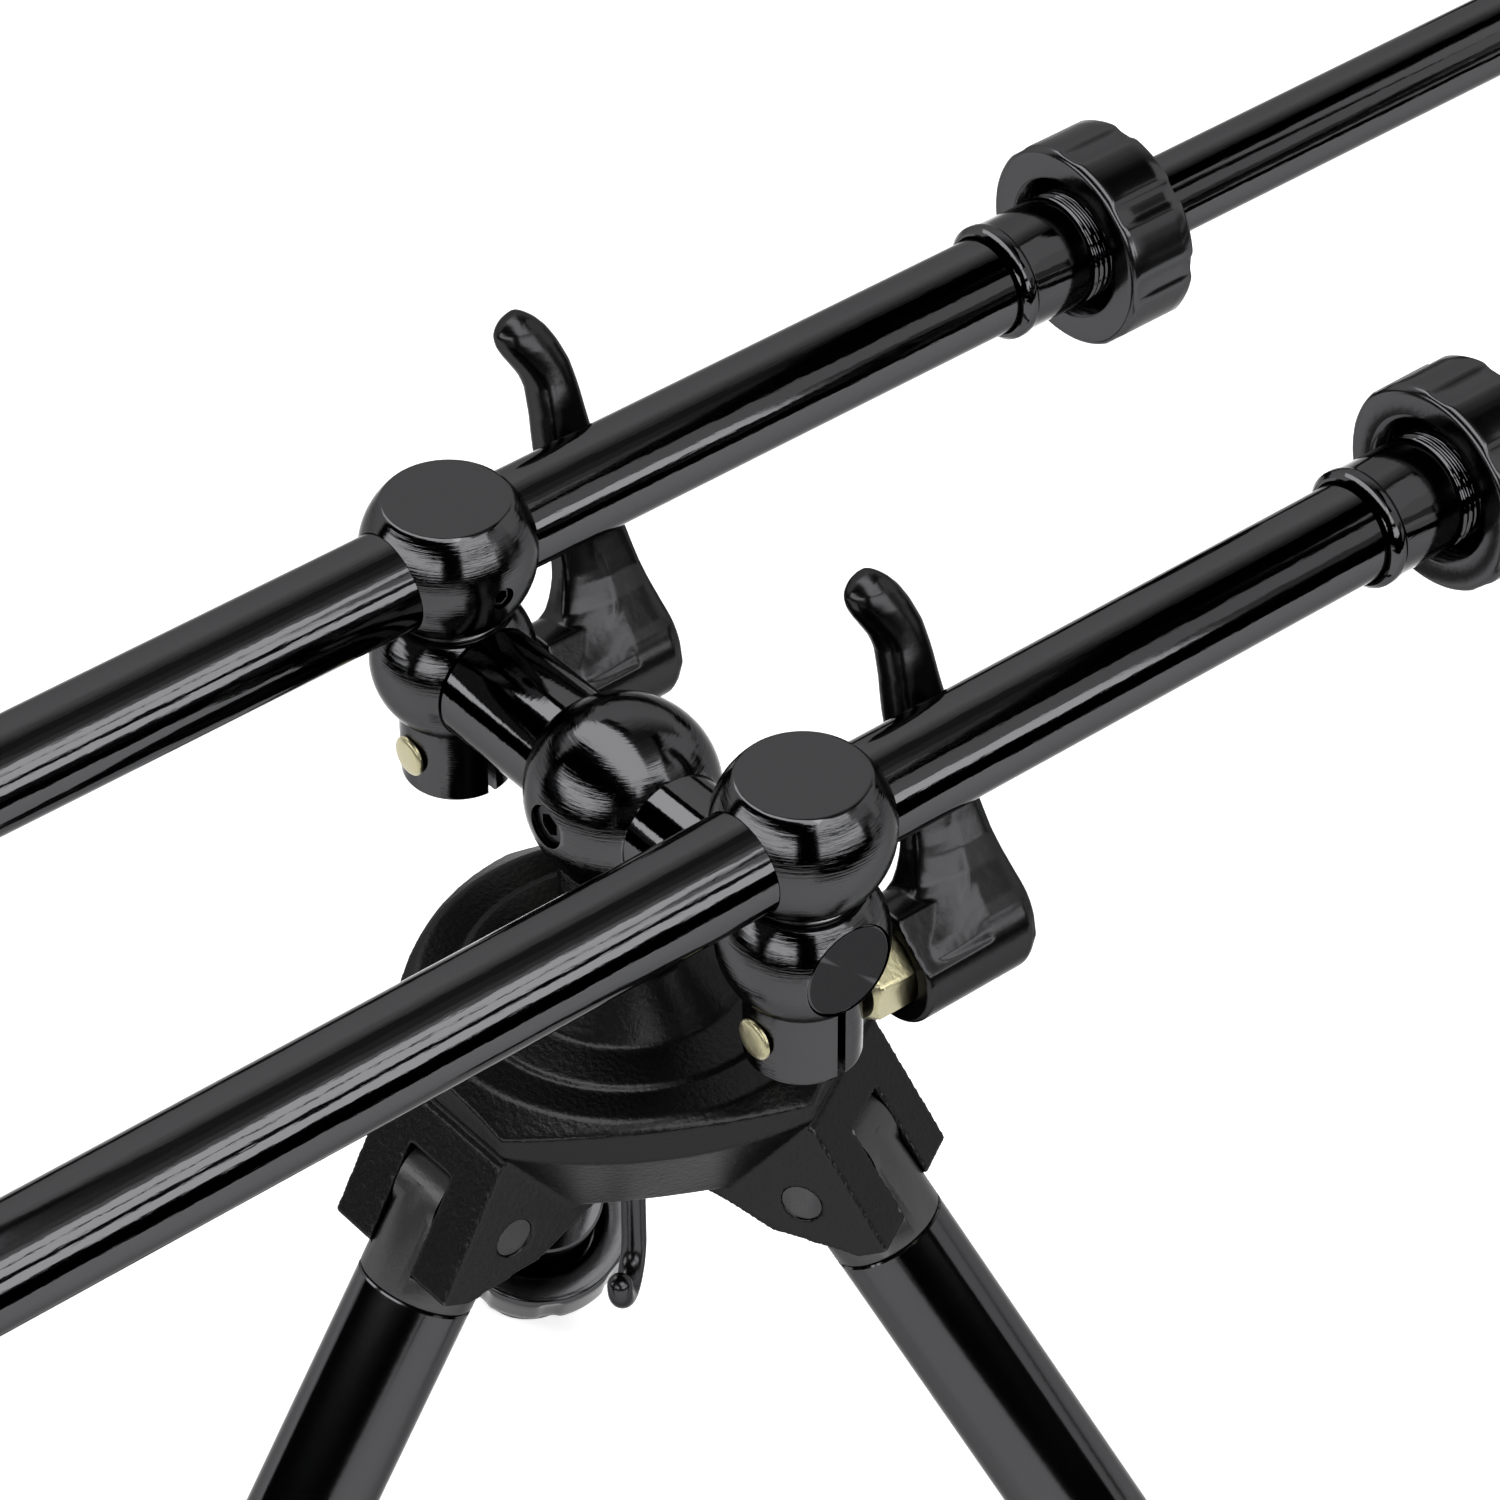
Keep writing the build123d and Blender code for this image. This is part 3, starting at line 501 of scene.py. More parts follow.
def arc(centre, radius, start, end, steps):
    """Points of an arc in a profile, as (distance along, radius from the axis), in degrees."""
    angles = [radians(start + (end - start) * i / steps) for i in range(steps + 1)]
    return [(centre[0] + radius * sin(a), centre[1] + radius * cos(a)) for a in angles]


def bake(piece):
    """Replaces the mesh with what its modifiers make of it."""
    graph = bpy.context.evaluated_depsgraph_get()
    mesh = bpy.data.meshes.new_from_object(piece.evaluated_get(graph))
    piece.modifiers.clear()
    piece.data = mesh


def carve(piece, cutter, operation="DIFFERENCE"):
    """Cuts the cutter out of the piece, or joins them, and removes the cutter."""
    change = piece.modifiers.new("carve", "BOOLEAN")
    change.solver = "EXACT"
    change.operation = operation
    change.object = cutter
    bake(piece)
    bpy.data.objects.remove(cutter)
    smooth(piece.data)


def rod(place, radius, start, end, steps):
    """A plain round cutter."""
    return turned("cutter", place, [(start, radius), (end, radius)], steps=steps)


def block(place, low, high):
    """A plain box cutter between two corners."""
    rows = []
    for z in (low[2], high[2]):
        corners = ((low[0], low[1]), (high[0], low[1]), (high[0], high[1]), (low[0], high[1]))
        rows.append([place @ Vector((x, y, z)) for x, y in corners])
    return new_piece("cutter", grid_mesh("cutter", rows))


def prism(place, outline, start, end):
    """A cutter made of an outline pushed along the Z of place."""
    rows = [[place @ Vector((x, y, z)) for x, y in outline] for z in (start, end)]
    return new_piece("cutter", grid_mesh("cutter", rows))


def soften(piece, width, segments):
    """Small rounded rims on every sharp edge."""
    rim = piece.modifiers.new("rim", "BEVEL")
    rim.width = width * MM
    rim.segments = segments
    rim.limit_method = "ANGLE"
    rim.angle_limit = radians(SHARP_EDGE)
    rim.use_clamp_overlap = True


def mount(piece, body, *replaced):
    """Rides on a body and stands for the CAD nodes it replaces."""
    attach(piece, body)
    if replaced:
        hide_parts(*replaced)


# %% [markdown]
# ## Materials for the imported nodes
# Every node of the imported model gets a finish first, also the ones that a finer piece will
# replace. Then the pieces follow one by one.

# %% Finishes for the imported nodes
NODE_FINISHES = (
    ("spider", cast_alloy),
    ("clamp_lever", cast_lever),
    ("brass_insert", brass),
    ("clamp_bolts", brass),
    ("lock_nut", lobed_plastic),
    ("thumb_screws", lobed_plastic),
    ("neck_rings", neck_steel),
    ("rubber_foot", rubber),
    ("post_bush", nylon),
    ("bar_collets", nylon),
    ("leg_knuckle", satin_alloy),
    ("buzz_bar", anodised_leg),
    ("ends", satin_alloy),
    ("leg_tube", anodised_leg),
    ("lower_tube", anodised_leg),
    ("tube", anodised_tube),
    ("ball", anodised_ball),
    ("hub_grub", dark_steel),
    ("hub", anodised_ball),
    ("crossbar", anodised_tube),
    ("collet_bodies", anodised_tube),
    ("screw", dark_steel),
    ("pins", pin_black),
    ("post", dark_steel),
    ("hook", dark_steel),
)
for name, node in nodes.items():
    material = next((material for word, material in NODE_FINISHES if word in name), dark_steel)
    node.data.materials.clear()
    node.data.materials.append(material)
    smooth(node.data, 25)

# %% [markdown]
# ## The bars
# Each bar is a plain black tube with a thinner tube sliding inside it. A tube is the simplest
# thing that a lathe makes: a closed profile turned about its axis, with a small break on each
# rim so that the edge catches the light. The 128 steps keep its outline round in a close view.


# %% Tubes
def tube(name, place, radius, bore, start, end, material):
    """A hollow tube with broken rims."""
    lip = 0.35
    profile = [
        (start + lip, radius), (end - lip, radius), (end, radius - lip), (end, bore + lip),
        (end - lip, bore), (start + lip, bore), (start, bore + lip), (start, radius - lip),
    ]
    return turned(name, place, profile, material, steps=128, hollow=True)


FORWARD = (0, 1, 0)
OUTER_TUBE, OUTER_BORE, INNER_TUBE, INNER_BORE = 9.5, 8.3, 8.0, 6.8
bars = {side: axis_at((bar_nuts[side].x, 0, bar_z), FORWARD) for side in SIDES}
for side in SIDES:
    place = bars[side]
    outer = tube(
        f"bar_outer_tube_{side}", place, OUTER_TUBE, OUTER_BORE, start=-330.0, end=139.5,
        material=anodised_tube,
    )
    mount(outer, "bar_frame", f"outer_tube_{side}")
    inner = tube(
        f"bar_inner_tube_{side}", place, INNER_TUBE, INNER_BORE, start=-100.0, end=330.0,
        material=anodised_tube,
    )
    mount(inner, "front_bar", f"inner_tube_{side}")
print("bars: 2 outer and 2 inner tubes")

# %% [markdown]
# ## Collet bodies and lock nuts
# Near the front end of each outer tube sits a collet body: a sleeve with a raised rim and a
# thread. The lobed nut on it squeezes a slit plastic ring onto the inner tube. The nut is a
# moulding with a well rounded near rim, eight shallow flutes for the fingers, and a deep cone in
# its near face. All of that is one lathe profile whose radius dips at each flute.

# %% Collet bodies and their slit rings
SLEEVE, PITCH, THREAD_DEPTH, THREAD_START, THREAD_END = 11.0, 1.25, 0.4, 143.0, 151.5


def threaded(along, angle, radius):
    """A shape for the lathe that cuts a screw thread into the outside of a sleeve."""
    if radius < SLEEVE or not THREAD_START < along < THREAD_END:
        return radius
    run_in = min((along - THREAD_START) / PITCH, (THREAD_END - along) / PITCH, 1.0)
    return radius - THREAD_DEPTH * run_in * (0.5 + 0.5 * cos(tau * along / PITCH - angle))


for side in SIDES:
    profile = [
        (127.4, 11.3), (127.8, 11.4), (129.0, 11.4), (129.6, 11.2), (130.2, SLEEVE),
        (142.8, SLEEVE),
    ]
    profile += [(THREAD_START + 0.16 * number, SLEEVE) for number in range(54)]
    profile += [
        (151.7, SLEEVE), (152.0, 10.6), (152.0, 8.7), (151.6, 8.3), (139.6, 8.3),
        (139.6, 9.55), (126.9, 9.55), (126.5, 9.9), (126.5, 10.4),
    ]
    body = turned(
        f"collet_body_{side}", bars[side], profile, anodised_tube, steps=128, hollow=True,
        shape=threaded,
    )
    mount(body, "bar_frame", "collet_bodies")
    profile = [(152.0, 8.05), (152.0, 10.2), (157.2, 9.4), (157.5, 9.1), (157.5, 8.05)]
    ring = turned(f"slit_ring_{side}", bars[side], profile, nylon, steps=96, hollow=True)
    carve(ring, block(bars[side], (7.0, -0.5, 152.6), (11.0, 0.5, 158.0)))
    mount(ring, "bar_frame", "bar_collets")


# %% Lobed nuts
LOBES, FLUTE_DEPTH, FLUTE_WIDTH, NUT_LENGTH = 8, 0.7, 2.3, 15.3


def lobed_nut(name, place, radius, thread, hole, start, length):
    """A nut whose near face is rounded into the grip, with a cone round the thread."""
    turn_in = 1.7
    profile = [(start + 7.5, thread), (start + 5.5, thread + 0.2), (start + 0.5, radius - 6.4)]
    profile += [(start + 0.15, radius - 6.0), (start, radius - 5.4)]
    profile += [(start, radius - turn_in - 0.6)]
    profile += arc((start + turn_in, radius - turn_in), turn_in, -90, 0, steps=8)
    profile += [(start + length * share, radius) for share in (0.3, 0.4, 0.6, 0.8)]
    profile += [(start + length - 0.9, radius), (start + length - 0.25, radius - 0.3)]
    profile += [(start + length, radius - 0.9), (start + length, hole + 0.6)]
    profile += [(start + length - 0.6, hole), (start + length - 2.8, hole)]
    profile += [(start + length - 2.8, thread)]

    def fluted(along, angle, round_radius):
        if round_radius < radius - turn_in:
            return round_radius
        step = tau / LOBES
        off = abs((angle + step / 2) % step - step / 2) * radius
        dip = FLUTE_DEPTH * exp(-((off / FLUTE_WIDTH) ** 4)) * ease(along, start + 0.2, start + 2.2)
        return round_radius - dip

    return turned(name, place, profile, lobed_plastic, steps=192, hollow=True, shape=fluted)


for side in SIDES:
    nut = lobed_nut(
        f"bar_nut_{side}_grip", bars[side], radius=20.2, thread=11.3, hole=8.35, start=145.5,
        length=NUT_LENGTH,
    )
    mount(nut, f"bar_nut_{side}", f"bar_lock_nut_{side}")
print("lock nuts of", LOBES, "lobes")

# %% [markdown]
# ## Crossbar, hub and hook
# The crossbar runs through a ball on the head and is held there by one grub screw. The ball, its
# neck and the post under it are one turned piece, so they are one profile here too. The bore and
# the screw hole are cut with Booleans, and their rims are beveled.

# %% Crossbar and hub
SIDEWAYS = (1, 0, 0)
across = axis_at((0, 0, crossbar_z), SIDEWAYS)
profile = [(-61.05, 0), (-61.05, 8.0), (-61.05, 8.3)] + arc((-60.25, 8.3), 0.8, -90, 0, steps=5)[1:]
profile += [(-38.6, 9.1), (-38.3, 9.3), (-38.3, 10.6), (-37.9, 11.0)]
profile += [(-along, radius) for along, radius in reversed(profile)]
bar = turned("crossbar_turned", across, profile, anodised_tube, steps=128)
# Painted shade: the end faces, which look along the crossbar, get a darker black than the turned
# surface.
bar.data.materials.append(end_painted_shade)
for face in bar.data.polygons:
    face.material_index = int(abs(face.normal.x) > 0.9)
mount(bar, "turning_head", "crossbar")

post_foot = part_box("hub")[0].z / MM - crossbar_z
standing = axis_at((0, 0, crossbar_z), (0, 0, 1), toward=(1, 0, 0))
profile = [(post_foot, 0), (post_foot, 4.5), (post_foot + 0.5, 5.0), (-32.0, 5.0)]
profile += [(-32.0, 11.5), (-31.5, 12.0), (-22.0, 12.0), (-13.6, 12.0)]
profile += arc((0, 0), 17.6, -46.2, 90, steps=60)
profile[-1] = (17.6, 0)
hub = turned("hub_ball", standing, profile, anodised_ball, steps=144)
carve(hub, rod(across, 11.06, -30, 30, steps=128))
near = axis_at((0, 0, crossbar_z + 1.0), (0, -1, 0))
carve(hub, rod(near, 4.15, 11.2, 30, steps=64))
soften(hub, 0.3, 3)
mount(hub, "turning_head", "hub")


# %% Grub screws
SOCKET_DEPTH = 3.0


def hexagon(size):
    """The corners of a hexagon from its width across flats."""
    corner = size / sqrt(3)
    return [(corner * cos(tau * i / 6), corner * sin(tau * i / 6)) for i in range(6)]


def grub_screw(name, place, radius, socket, start, end):
    """A headless screw with broken rims and a hexagon socket in its outer end."""
    profile = [(start, 0), (start, radius - 0.5), (start + 0.5, radius)]
    profile += [(end - 0.55, radius), (end - 0.1, radius - 0.35), (end, radius - 0.6), (end, 0)]
    screw = turned(name, place, profile, dark_steel, steps=64)
    carve(screw, prism(place, hexagon(socket), end - SOCKET_DEPTH, end + 1))
    soften(screw, 0.12, 2)
    return screw


screw = grub_screw("hub_screw", near, radius=4.1, socket=4.0, start=11.05, end=16.25)
mount(screw, "turning_head", "hub_grub_screw")
inward = {"left": (1, 0, 0), "right": (-1, 0, 0)}
screw_seats = {}
for side in SIDES:
    x = bar_nuts[side].x
    screw_seats[side] = axis_at((x, 0, bar_z - 0.7), inward[side])
    screw = grub_screw(
        f"bar_screw_{side}", screw_seats[side], radius=2.2, socket=2.5, start=9.55, end=15.15
    )
    mount(screw, "bar_frame", "bar_grub_screws")


# %% Bag hook
def swept(name, path, radii, material, side_way):
    """A round bar along a flat path. The rings stand across the path, and end in one point."""
    rows, turns = [], [tau * i / 32 for i in range(32)]
    for number, (point, radius) in enumerate(zip(path, radii)):
        before, after = path[max(number - 1, 0)], path[min(number + 1, len(path) - 1)]
        tangent = (after - before).normalized()
        across = side_way.cross(tangent)
        if radius == 0:
            rows.append([point])
        else:
            rows.append([point + radius * (cos(a) * across + sin(a) * side_way) for a in turns])
    piece = new_piece(name, grid_mesh(name, rows), material)
    smooth(piece.data)
    return piece


low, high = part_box("bag_hook")
wire, bend = 2.4, 6.5
bottom, top = low.z / MM + wire + bend, high.z / MM
out = Vector((cos(radians(-50)), sin(radians(-50)), 0))
path = [Vector((0, 0, top)), Vector((0, 0, top - 0.6))]
path += [Vector((0, 0, top + (bottom - top) * share)) for share in (0.2, 0.4, 0.6, 0.8, 0.95)]
for number in range(29):
    angle = radians(180 + 180 * number / 28)
    path.append(out * (bend + bend * cos(angle)) + Vector((0, 0, bottom + bend * sin(angle))))
tip = out * 2 * bend + Vector((0, 0, bottom))
tip_angles = [radians(5 + 85 * i / 8) for i in range(9)]
path += [tip + Vector((0, 0, wire * sin(angle))) for angle in tip_angles]
radii = [1.9] + [wire] * (len(path) - len(tip_angles) - 1)
radii += [wire * cos(angle) for angle in tip_angles[:-1]] + [0]
hook = swept("weight_hook", path, radii, dark_steel, out.cross(Vector((0, 0, 1))))
mount(hook, "turning_head", "bag_hook")
print("hub, crossbar, 3 grub screws and hook")

# %% [markdown]
# ## Bar balls and clamp balls
# A bar passes through the upper ball, whose top is turned flat. The lower ball turns on the end
# of the crossbar. It is cut flat where it faces the hub, and its foot is a round skirt, split
# from below so that the bolt can close it. Both are lathe profiles with a few Boolean cuts, and
# a narrow Bevel gives each cut the fine bright line that a turned edge has.

# %% Upper balls
BALL, BALL_LIFT, FLAT_TOP, BALL_FOOT = 16.1, 0.8, 12.0, -12.1
for side in SIDES:
    x = bar_nuts[side].x
    upright = axis_at((x, 0, bar_z), (0, 0, 1), toward=(1, 0, 0))
    flat_start = degrees(asin((11.8 - BALL_LIFT) / BALL))
    profile = [(BALL_FOOT, 0), (BALL_FOOT, 9.3)]
    profile += arc((BALL_LIFT, 0), BALL, degrees(asin(-12.7 / BALL)), flat_start, steps=60)
    profile += [(11.93, 11.45), (FLAT_TOP, 11.2), (FLAT_TOP, 10.8), (FLAT_TOP, 0)]
    ball = turned(f"bar_ball_{side}", upright, profile, anodised_ball, steps=144)
    carve(ball, rod(bars[side], 9.62, -20, 20, steps=128))
    carve(ball, rod(screw_seats[side], 2.25, 9.0, 20, steps=48))
    soften(ball, 0.22, 2)
    mount(ball, "bar_frame", "bar_balls")


# %% Lower balls with their slit
CLAMP_BALL, CLAMP_TOP, SKIRT, SKIRT_FOOT, CLAMP_FACE, SLIT = 15.2, 10.4, 10.4, -26.0, 10.3, 1.8
for side in SIDES:
    x = bar_nuts[side].x
    toward_hub = -1 if x > 0 else 1
    upright = axis_at((x, 0, crossbar_z), (0, 0, 1), toward=(1, 0, 0))
    profile = [(SKIRT_FOOT, 0), (SKIRT_FOOT, 9.0)] + arc((-24.9, 9.3), 1.1, -90, 0, steps=5)
    profile += [(-20.0, SKIRT), (-16.0, SKIRT), (-11.6, SKIRT)]
    low_end, high_end = (degrees(asin(height / CLAMP_BALL)) for height in (-11.0, 10.2))
    profile += arc((0, 0), CLAMP_BALL, low_end, high_end, steps=54)
    profile += [(10.34, 11.0), (CLAMP_TOP, 10.75), (CLAMP_TOP, 10.4), (CLAMP_TOP, 0)]
    ball = turned(f"clamp_ball_{side}", upright, profile, anodised_ball, steps=144)
    ends = sorted((x + toward_hub * CLAMP_FACE, x + toward_hub * 20))
    whole = Matrix.Translation((0, 0, crossbar_z))
    carve(ball, block(whole, (ends[0], -20, -30), (ends[1], 20, 20)))
    carve(ball, rod(across, 9.15, x - 20, x + 20, steps=128))
    carve(ball, block(whole, (x - 20, -SLIT / 2, -30), (x + 20, SLIT / 2, -4)))
    bolt = axis_at(bolts[side], FORWARD)
    carve(ball, rod(bolt, 3.0, -20, 20, steps=48))
    soften(ball, 0.28, 2)
    mount(ball, "bar_frame", "clamp_balls")
    profile = [(CLAMP_TOP, 0), (CLAMP_TOP, 9.7), (10.6, 9.9), (10.9, 9.9), (11.1, 9.7), (11.1, 0)]
    ring = turned(f"neck_ring_{side}", upright, profile, neck_steel, steps=128)
    mount(ring, "bar_frame", "neck_rings")
print("two pairs of balls, split and bored")

# %% [markdown]
# ## Brass bolts and inserts
# Each clamp closes on a brass bolt, whose low domed head sits on the skirt. The lever holds a
# brass hexagon that the bolt screws into. The hexagon's corners are cut by a cone, as on every
# real nut, so we give the lathe a radius that is the smaller of the hexagon's and the cone's.


# %% Bolts and inserts
def hexagon_radius(size, angle):
    """How far a hexagon reaches in one direction, from its width across flats."""
    return size / 2 / cos((angle + pi / 6) % (pi / 3) - pi / 6)


HEX_FLATS = 13.4


def chamfered(along, angle, limit):
    """The hexagon, cut by a cone where the limit is smaller."""
    return min(hexagon_radius(HEX_FLATS, angle), limit)


LEVER_LEAN = radians(22)
lever_way = (-sin(LEVER_LEAN), 0, cos(LEVER_LEAN))
for side in SIDES:
    bolt = axis_at(bolts[side], FORWARD)
    profile = [(-11.5, 0), (-11.49, 1.4), (-11.45, 2.6), (-11.35, 3.3), (-11.1, 3.7)]
    profile += [(-10.9, 3.85), (-10.55, 3.9), (-10.4, 3.75), (-10.4, 2.9), (35.6, 2.9)]
    profile += [(36.0, 2.5), (36.0, 0)]
    piece = turned(f"brass_bolt_{side}", bolt, profile, brass, steps=96)
    mount(piece, "bar_frame", "clamp_bolts")
    lever_place = axis_at(bolts[side], FORWARD, toward=lever_way)
    profile = [(10.75, 2.95), (10.75, 6.2), (11.05, 6.55), (11.45, 6.95), (11.85, 7.35)]
    profile += [(12.3, 7.8), (18.0, 7.8), (24.0, 7.8), (24.0, 2.95)]
    insert = turned(
        f"hex_insert_{side}", lever_place, profile, brass, steps=192, hollow=True, shape=chamfered
    )
    smooth(insert.data, 18)
    mount(insert, f"lever_{side}", f"brass_insert_{side}")

# %% [markdown]
# ## The cast levers
# A lever is one casting: a round hub, and an arm that is wide at the hub, thins to a waist and
# ends in a rounded thumb. On its inner side the arm has a narrower web, and where the web meets
# the arm's back there is a crease. Below it the hub has two sloping flats, which we cut first. We
# lay cross sections along the arm and join it to the hub with a Boolean. A voxel remesh melts the
# two together and some smoothing rounds the edges, as casting and polishing do. The recess for
# the brass hexagon is cut afterwards, so its rim stays crisp.


# %% Tables of the arm's shape
def between(table, at):
    """Reads a table of (place, value) pairs with straight lines between them."""
    for (low, first), (high, second) in zip(table, table[1:]):
        if at <= high:
            return first + (second - first) * max(at - low, 0) / (high - low)
    return table[-1][1]


# Each table gives a value at places along the arm, in millimetres from the bolt. Back and front
# are heights above the clamp's middle, and the two widths are half widths. Crease is the share of
# the height below the crease, and rounding is how square a cross section is.
ARM_BACK = [
    (-10.6, 40.8), (-9.5, 42.6), (-7.5, 44.0), (-4, 44.9), (0, 45.2), (4, 45.2), (8, 44.9),
    (14, 44.4), (20, 44.0), (30, 43.4), (40, 43.2), (46, 43.2), (51, 43.3), (56.4, 43.0),
    (60.7, 41.8), (63.8, 40.4), (66.3, 38.6), (67.8, 36.9), (68.4, 35.9),
]
ARM_FRONT = [
    (-10.6, 36.0), (-6, 30.0), (0, 20.5), (5, 20.7), (8, 21.4), (9.5, 22.6), (10.6, 24.2),
    (12, 26.0), (15, 27.8), (19, 29.3), (30, 30.8), (41, 32.2), (48, 33.4), (53.4, 33.9),
    (56, 33.4), (58.7, 32.1), (60.8, 31.0), (62.8, 30.2), (64.8, 30.1), (66.3, 30.9),
    (67.4, 32.4), (68.0, 33.9), (68.4, 35.3),
]
BACK_WIDTH = [
    (-10.6, 3.4), (-9.5, 6.0), (-7.5, 8.5), (-4, 10.6), (0, 11.3), (3, 11.2), (6, 10.2), (9, 8.7),
    (12, 7.2), (16, 5.8), (22, 5.0), (30, 4.8), (40, 4.6), (60.8, 4.5), (64.8, 4.1), (66.8, 3.2),
    (67.8, 2.2), (68.4, 0.9),
]
WEB_WIDTH = [
    (0, 11.2), (2.2, 10.8), (4, 9.4), (6, 7.6), (8, 6.0), (10, 4.7), (13, 3.4), (18, 2.6),
    (28, 2.4), (36, 3.0), (44, 4.0), (56, 4.5),
]
CREASE = [
    (-11, 0.56), (2.2, 0.56), (16, 0.45), (26, 0.38), (36, 0.26), (44, 0.08), (60, 0.04),
]
ROUNDING = [(2.2, 9.0), (20, 7.0), (34, 4.5), (46, 2.8), (56, 2.2), (68, 2.0)]
STATIONS = [
    -10.6, -10, -9.5, -8.5, -7.5, -6, -4, -2, 0, 2, 4, 6, 8, 10, 12, 14, 16, 18, 20, 23, 26, 30,
    34, 38, 42, 45, 48, 50, 52, 53.5, 55, 56.5, 58, 59.5, 61, 62, 63, 64, 65, 66, 66.8, 67.4,
    67.9, 68.4,
]


# %% Building a lever
STEP_AT_CREASE, HALF_STEPS = 0.9, 20


def arm_ring(place, along):
    """One cross section of the arm: the web, the crease and the rounded back."""
    front, back = between(ARM_FRONT, along), between(ARM_BACK, along)
    wide, crease = between(BACK_WIDTH, along), between(CREASE, along)
    web, power = min(between(WEB_WIDTH, along), wide), between(ROUNDING, along)
    half = []
    for number in range(HALF_STEPS + 1):
        up = (1 - cos(pi * number / HALF_STEPS)) / 2
        width = web + (wide - web) * (STEP_AT_CREASE * up / crease if up < crease else 1)
        width *= max(1 - abs(2 * up - 1) ** power, 0) ** (1 / power)
        half.append((width, front + (back - front) * up))
    points = half + [(-width, height) for width, height in reversed(half[1:-1])]
    return [place @ Vector((along, width, height)) for width, height in points]


def remeshed(piece, voxel, rounds):
    """Melts the piece into one skin and smooths it."""
    melt = piece.modifiers.new("melt", "REMESH")
    melt.mode = "VOXEL"
    melt.voxel_size = voxel * MM
    polish = piece.modifiers.new("polish", "SMOOTH")
    polish.factor = 0.5
    polish.iterations = rounds
    bake(piece)


LEVER_VOXEL, FLAT_END = 0.34, 34.3
for side in SIDES:
    lever_place = axis_at(bolts[side], FORWARD, toward=lever_way)
    arm = new_piece("arm", grid_mesh("arm", [arm_ring(lever_place, along) for along in STATIONS]))
    profile = [(19.0, 0), (19.0, 10.9), (19.6, 11.5), (42.2, 11.5), (43.1, 11.1), (43.6, 10.2)]
    hub_part = turned(f"lever_{side}_casting", lever_place, profile + [(43.6, 0)], cast_lever)
    # Two flats slope from the widest line of the hub in toward the web.
    for turn in (1, -1):
        corners = [(-0.3, 11.6 * turn), (12.5, 4.9 * turn), (12.5, 14 * turn), (-0.3, 14 * turn)]
        carve(hub_part, prism(lever_place, corners[::turn], 18.0, FLAT_END))
    carve(hub_part, arm, "UNION")
    remeshed(hub_part, LEVER_VOXEL, 3)
    carve(hub_part, rod(lever_place, 8.3, 18.0, 24.0, steps=96))
    carve(hub_part, rod(lever_place, 2.98, 23.0, 36.3, steps=48))
    smooth(hub_part.data, 50)
    mount(hub_part, f"lever_{side}", f"clamp_lever_{side}")
print("two levers cast")

# %% [markdown]
# ## The spider
# The cast head that holds the legs is the piece with the most shape: three forked arms, bulging
# walls between them, a stepped disc on top and a boss for the post. Its main form comes from the
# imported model. A voxel remesh and a little smoothing turn its sharp edges into the soft ones that
# a sand casting has.

# %% Casting the spider
SPIDER_VOXEL = 0.5
spider = new_piece("spider_casting", nodes["spider"].data.copy())
spider.data.materials.clear()
spider.data.materials.append(cast_alloy)
remeshed(spider, SPIDER_VOXEL, 4)
smooth(spider.data, 60)
mount(spider, "tripod_head", "spider")
print("spider faces", len(spider.data.polygons))

# %% [markdown]
# ## The legs
# A leg hangs between the two ears of an arm on a pin. Its knuckle is turned, milled flat on both
# sides at the top, and plugged into the upper tube. At the foot end the same kind of collet body
# and lobed nut as on the bars clamps the lower tube, which ends in a rubber foot.

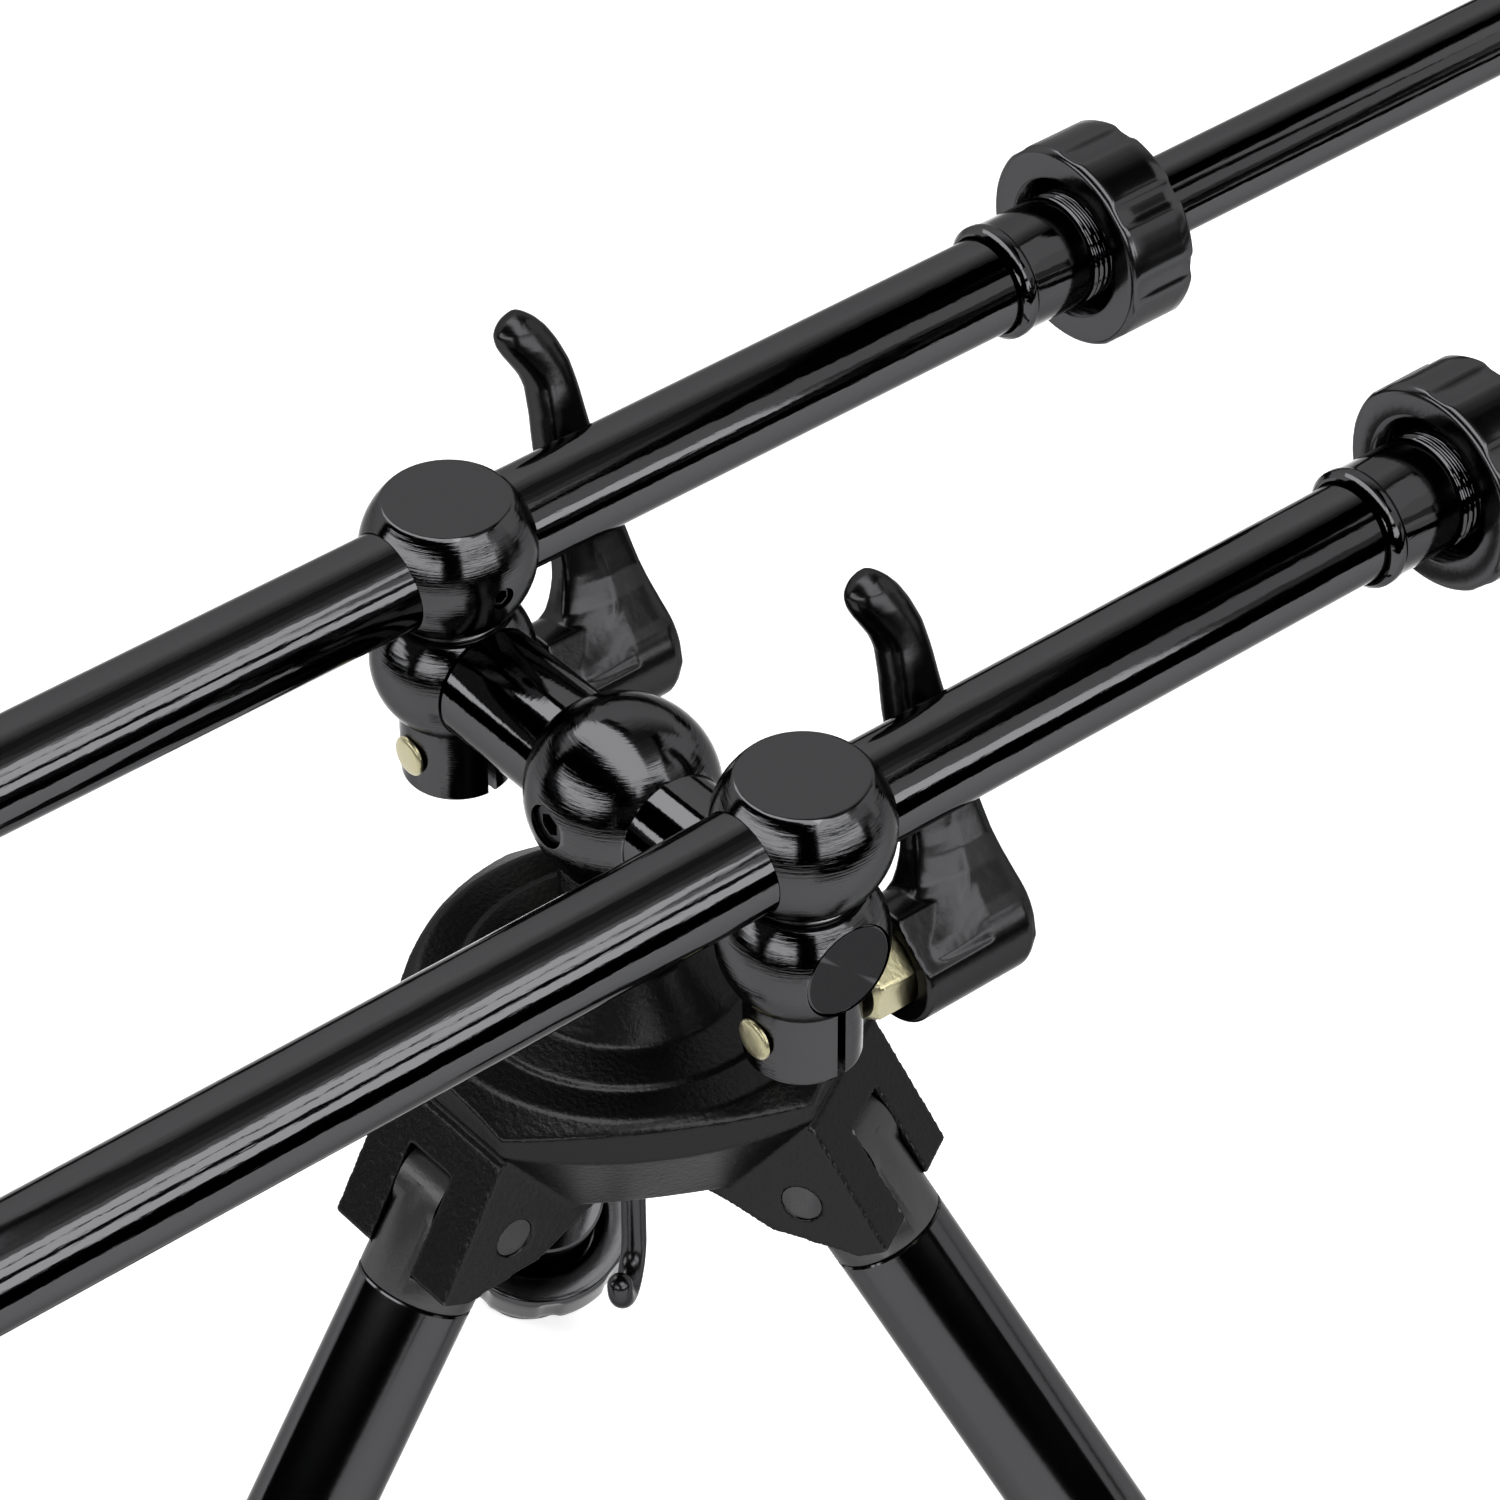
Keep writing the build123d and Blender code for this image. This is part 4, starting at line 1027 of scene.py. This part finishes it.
# %% Legs
LEG_LEAN = radians(33)
LEG_TUBE, LEG_BORE, TONGUE, FOOT_SEAT = 11.0, 9.8, 11.4, 262.0
FOOT_TOP, FOOT_RIBS, RIB_STEP = 240.0, 4, 4.5
EAR_OUT, EAR_DOWN = 16.5, 6.7
shoulder = EAR_OUT * sin(LEG_LEAN) + EAR_DOWN * cos(LEG_LEAN) + 0.3
for leg in LEGS:
    way = leg_ways[leg]
    pin_way = Vector((-way.y, way.x, 0)).normalized()
    down = axis_at(pins[leg], way, toward=pin_way)
    profile = [(-1.0, 0), (-1.0, LEG_TUBE), (19.3, LEG_TUBE), (19.75, 10.75), (20.0, 10.4)]
    profile += [(20.0, 9.7), (46.0, 9.7), (46.0, 0)]
    knuckle = turned(f"knuckle_{leg}", down, profile, satin_alloy, steps=96)
    pin = axis_at(pins[leg], pin_way, toward=way)
    carve(knuckle, rod(pin, 10.97, -6.4, 6.4, steps=96), "UNION")
    for turn in (1, -1):
        cheeks = sorted((turn * TONGUE / 2, turn * 14))
        carve(knuckle, block(down, (cheeks[0], -15, -15), (cheeks[1], 15, shoulder)))
    carve(knuckle, rod(pin, 3.8, -14, 14, steps=64))
    soften(knuckle, 0.5, 3)
    mount(knuckle, f"leg_{leg}", f"leg_knuckle_{leg}")
    profile = [
        (20.35, LEG_TUBE), (196.9, LEG_TUBE), (196.9, 12.7), (197.4, 13.2), (199.6, 13.2),
        (200.0, 12.7), (222.1, 12.7), (222.5, 12.3), (222.5, 10.2), (222.1, LEG_BORE),
        (20.4, LEG_BORE), (20.05, 10.2), (20.05, 10.7),
    ]
    upper = turned(f"upper_tube_{leg}", down, profile, anodised_leg, steps=128, hollow=True)
    mount(upper, f"leg_{leg}", f"leg_tube_{leg}")
    nut = lobed_nut(
        f"leg_nut_{leg}_grip", down, radius=21.0, thread=13.0, hole=9.85, start=216.0,
        length=NUT_LENGTH,
    )
    mount(nut, f"leg_nut_{leg}", f"leg_lock_nut_{leg}")
    lower = tube(
        f"lower_leg_tube_{leg}", down, OUTER_TUBE, OUTER_BORE, start=46.3, end=FOOT_SEAT,
        material=anodised_leg,
    )
    mount(lower, f"lower_leg_{leg}", f"lower_tube_{leg}")
    profile = [(FOOT_SEAT, 0), (FOOT_SEAT, 9.55), (240.6, 9.55), (FOOT_TOP, 10.1)]
    profile += [(FOOT_TOP, 11.0), (240.5, 11.5)]
    for number in range(FOOT_RIBS):
        ring = 244.5 + RIB_STEP * number
        outside = 11.5 + 2.0 * (ring - FOOT_TOP) / 26
        profile += [(ring, outside), (ring + 0.5, outside - 0.7), (ring + 1.6, outside - 0.7)]
        profile += [(ring + 2.1, outside + 0.15)]
    profile += [(264.5, 13.4), (265.8, 13.5)] + arc((266.0, 9.5), 4.0, 0, 90, steps=8)[1:]
    foot = turned(f"foot_{leg}", down, profile + [(270.0, 0)], rubber, steps=96)
    mount(foot, f"lower_leg_{leg}", f"rubber_foot_{leg}")
print("three legs")

# %% [markdown]
# ## Thumb screws, buzz bars and small parts
# The buzz bars carry the rods' rests on three bosses each, and thumb screws hold them to the ends
# of the bars. The photograph doesn't show these pieces, so they are kept plain. The screws' grips
# are fluted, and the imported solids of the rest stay, with a Bevel on their sharp edges.


# %% Thumb screws
def scalloped(along, angle, radius):
    """Twelve shallow scallops round a grip."""
    return radius - (0.55 * cos(12 * angle) + 0.15 if radius > 8 else 0)


for end, way in (("front", 1), ("rear", -1)):
    body = "front_bar" if end == "front" else "bar_frame"
    for side in SIDES:
        grip = axis_at((bar_nuts[side].x, way * 353.0, bar_z), (0, way, 0))
        profile = [(-26.0, 0), (-26.0, 2.6), (-25.6, 3.0), (0, 3.0), (0, 7.4), (0.4, 7.9)]
        profile += [(1.2, 8.3), (2.5, 8.3), (6.5, 8.3), (7.8, 8.3), (8.6, 7.9), (9.0, 7.2)]
        profile += [(9.0, 5.4), (8.6, 5.0), (8.6, 0)]
        screw = turned(
            f"thumb_{end}_{side}", grip, profile, lobed_plastic, steps=144, shape=scalloped
        )
        mount(screw, body, f"{end}_thumb_screws")

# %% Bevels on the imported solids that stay
for name, width in (
    ("front_buzz_bar", 0.5), ("rear_buzz_bar", 0.5), ("front_ends", 0.4), ("rear_ends", 0.4),
    ("post_nut", 0.4), ("post_washer", 0.2), ("leg_pins", 0.4),
):
    soften(nodes[name], width, 3)
print("beveled solids done")
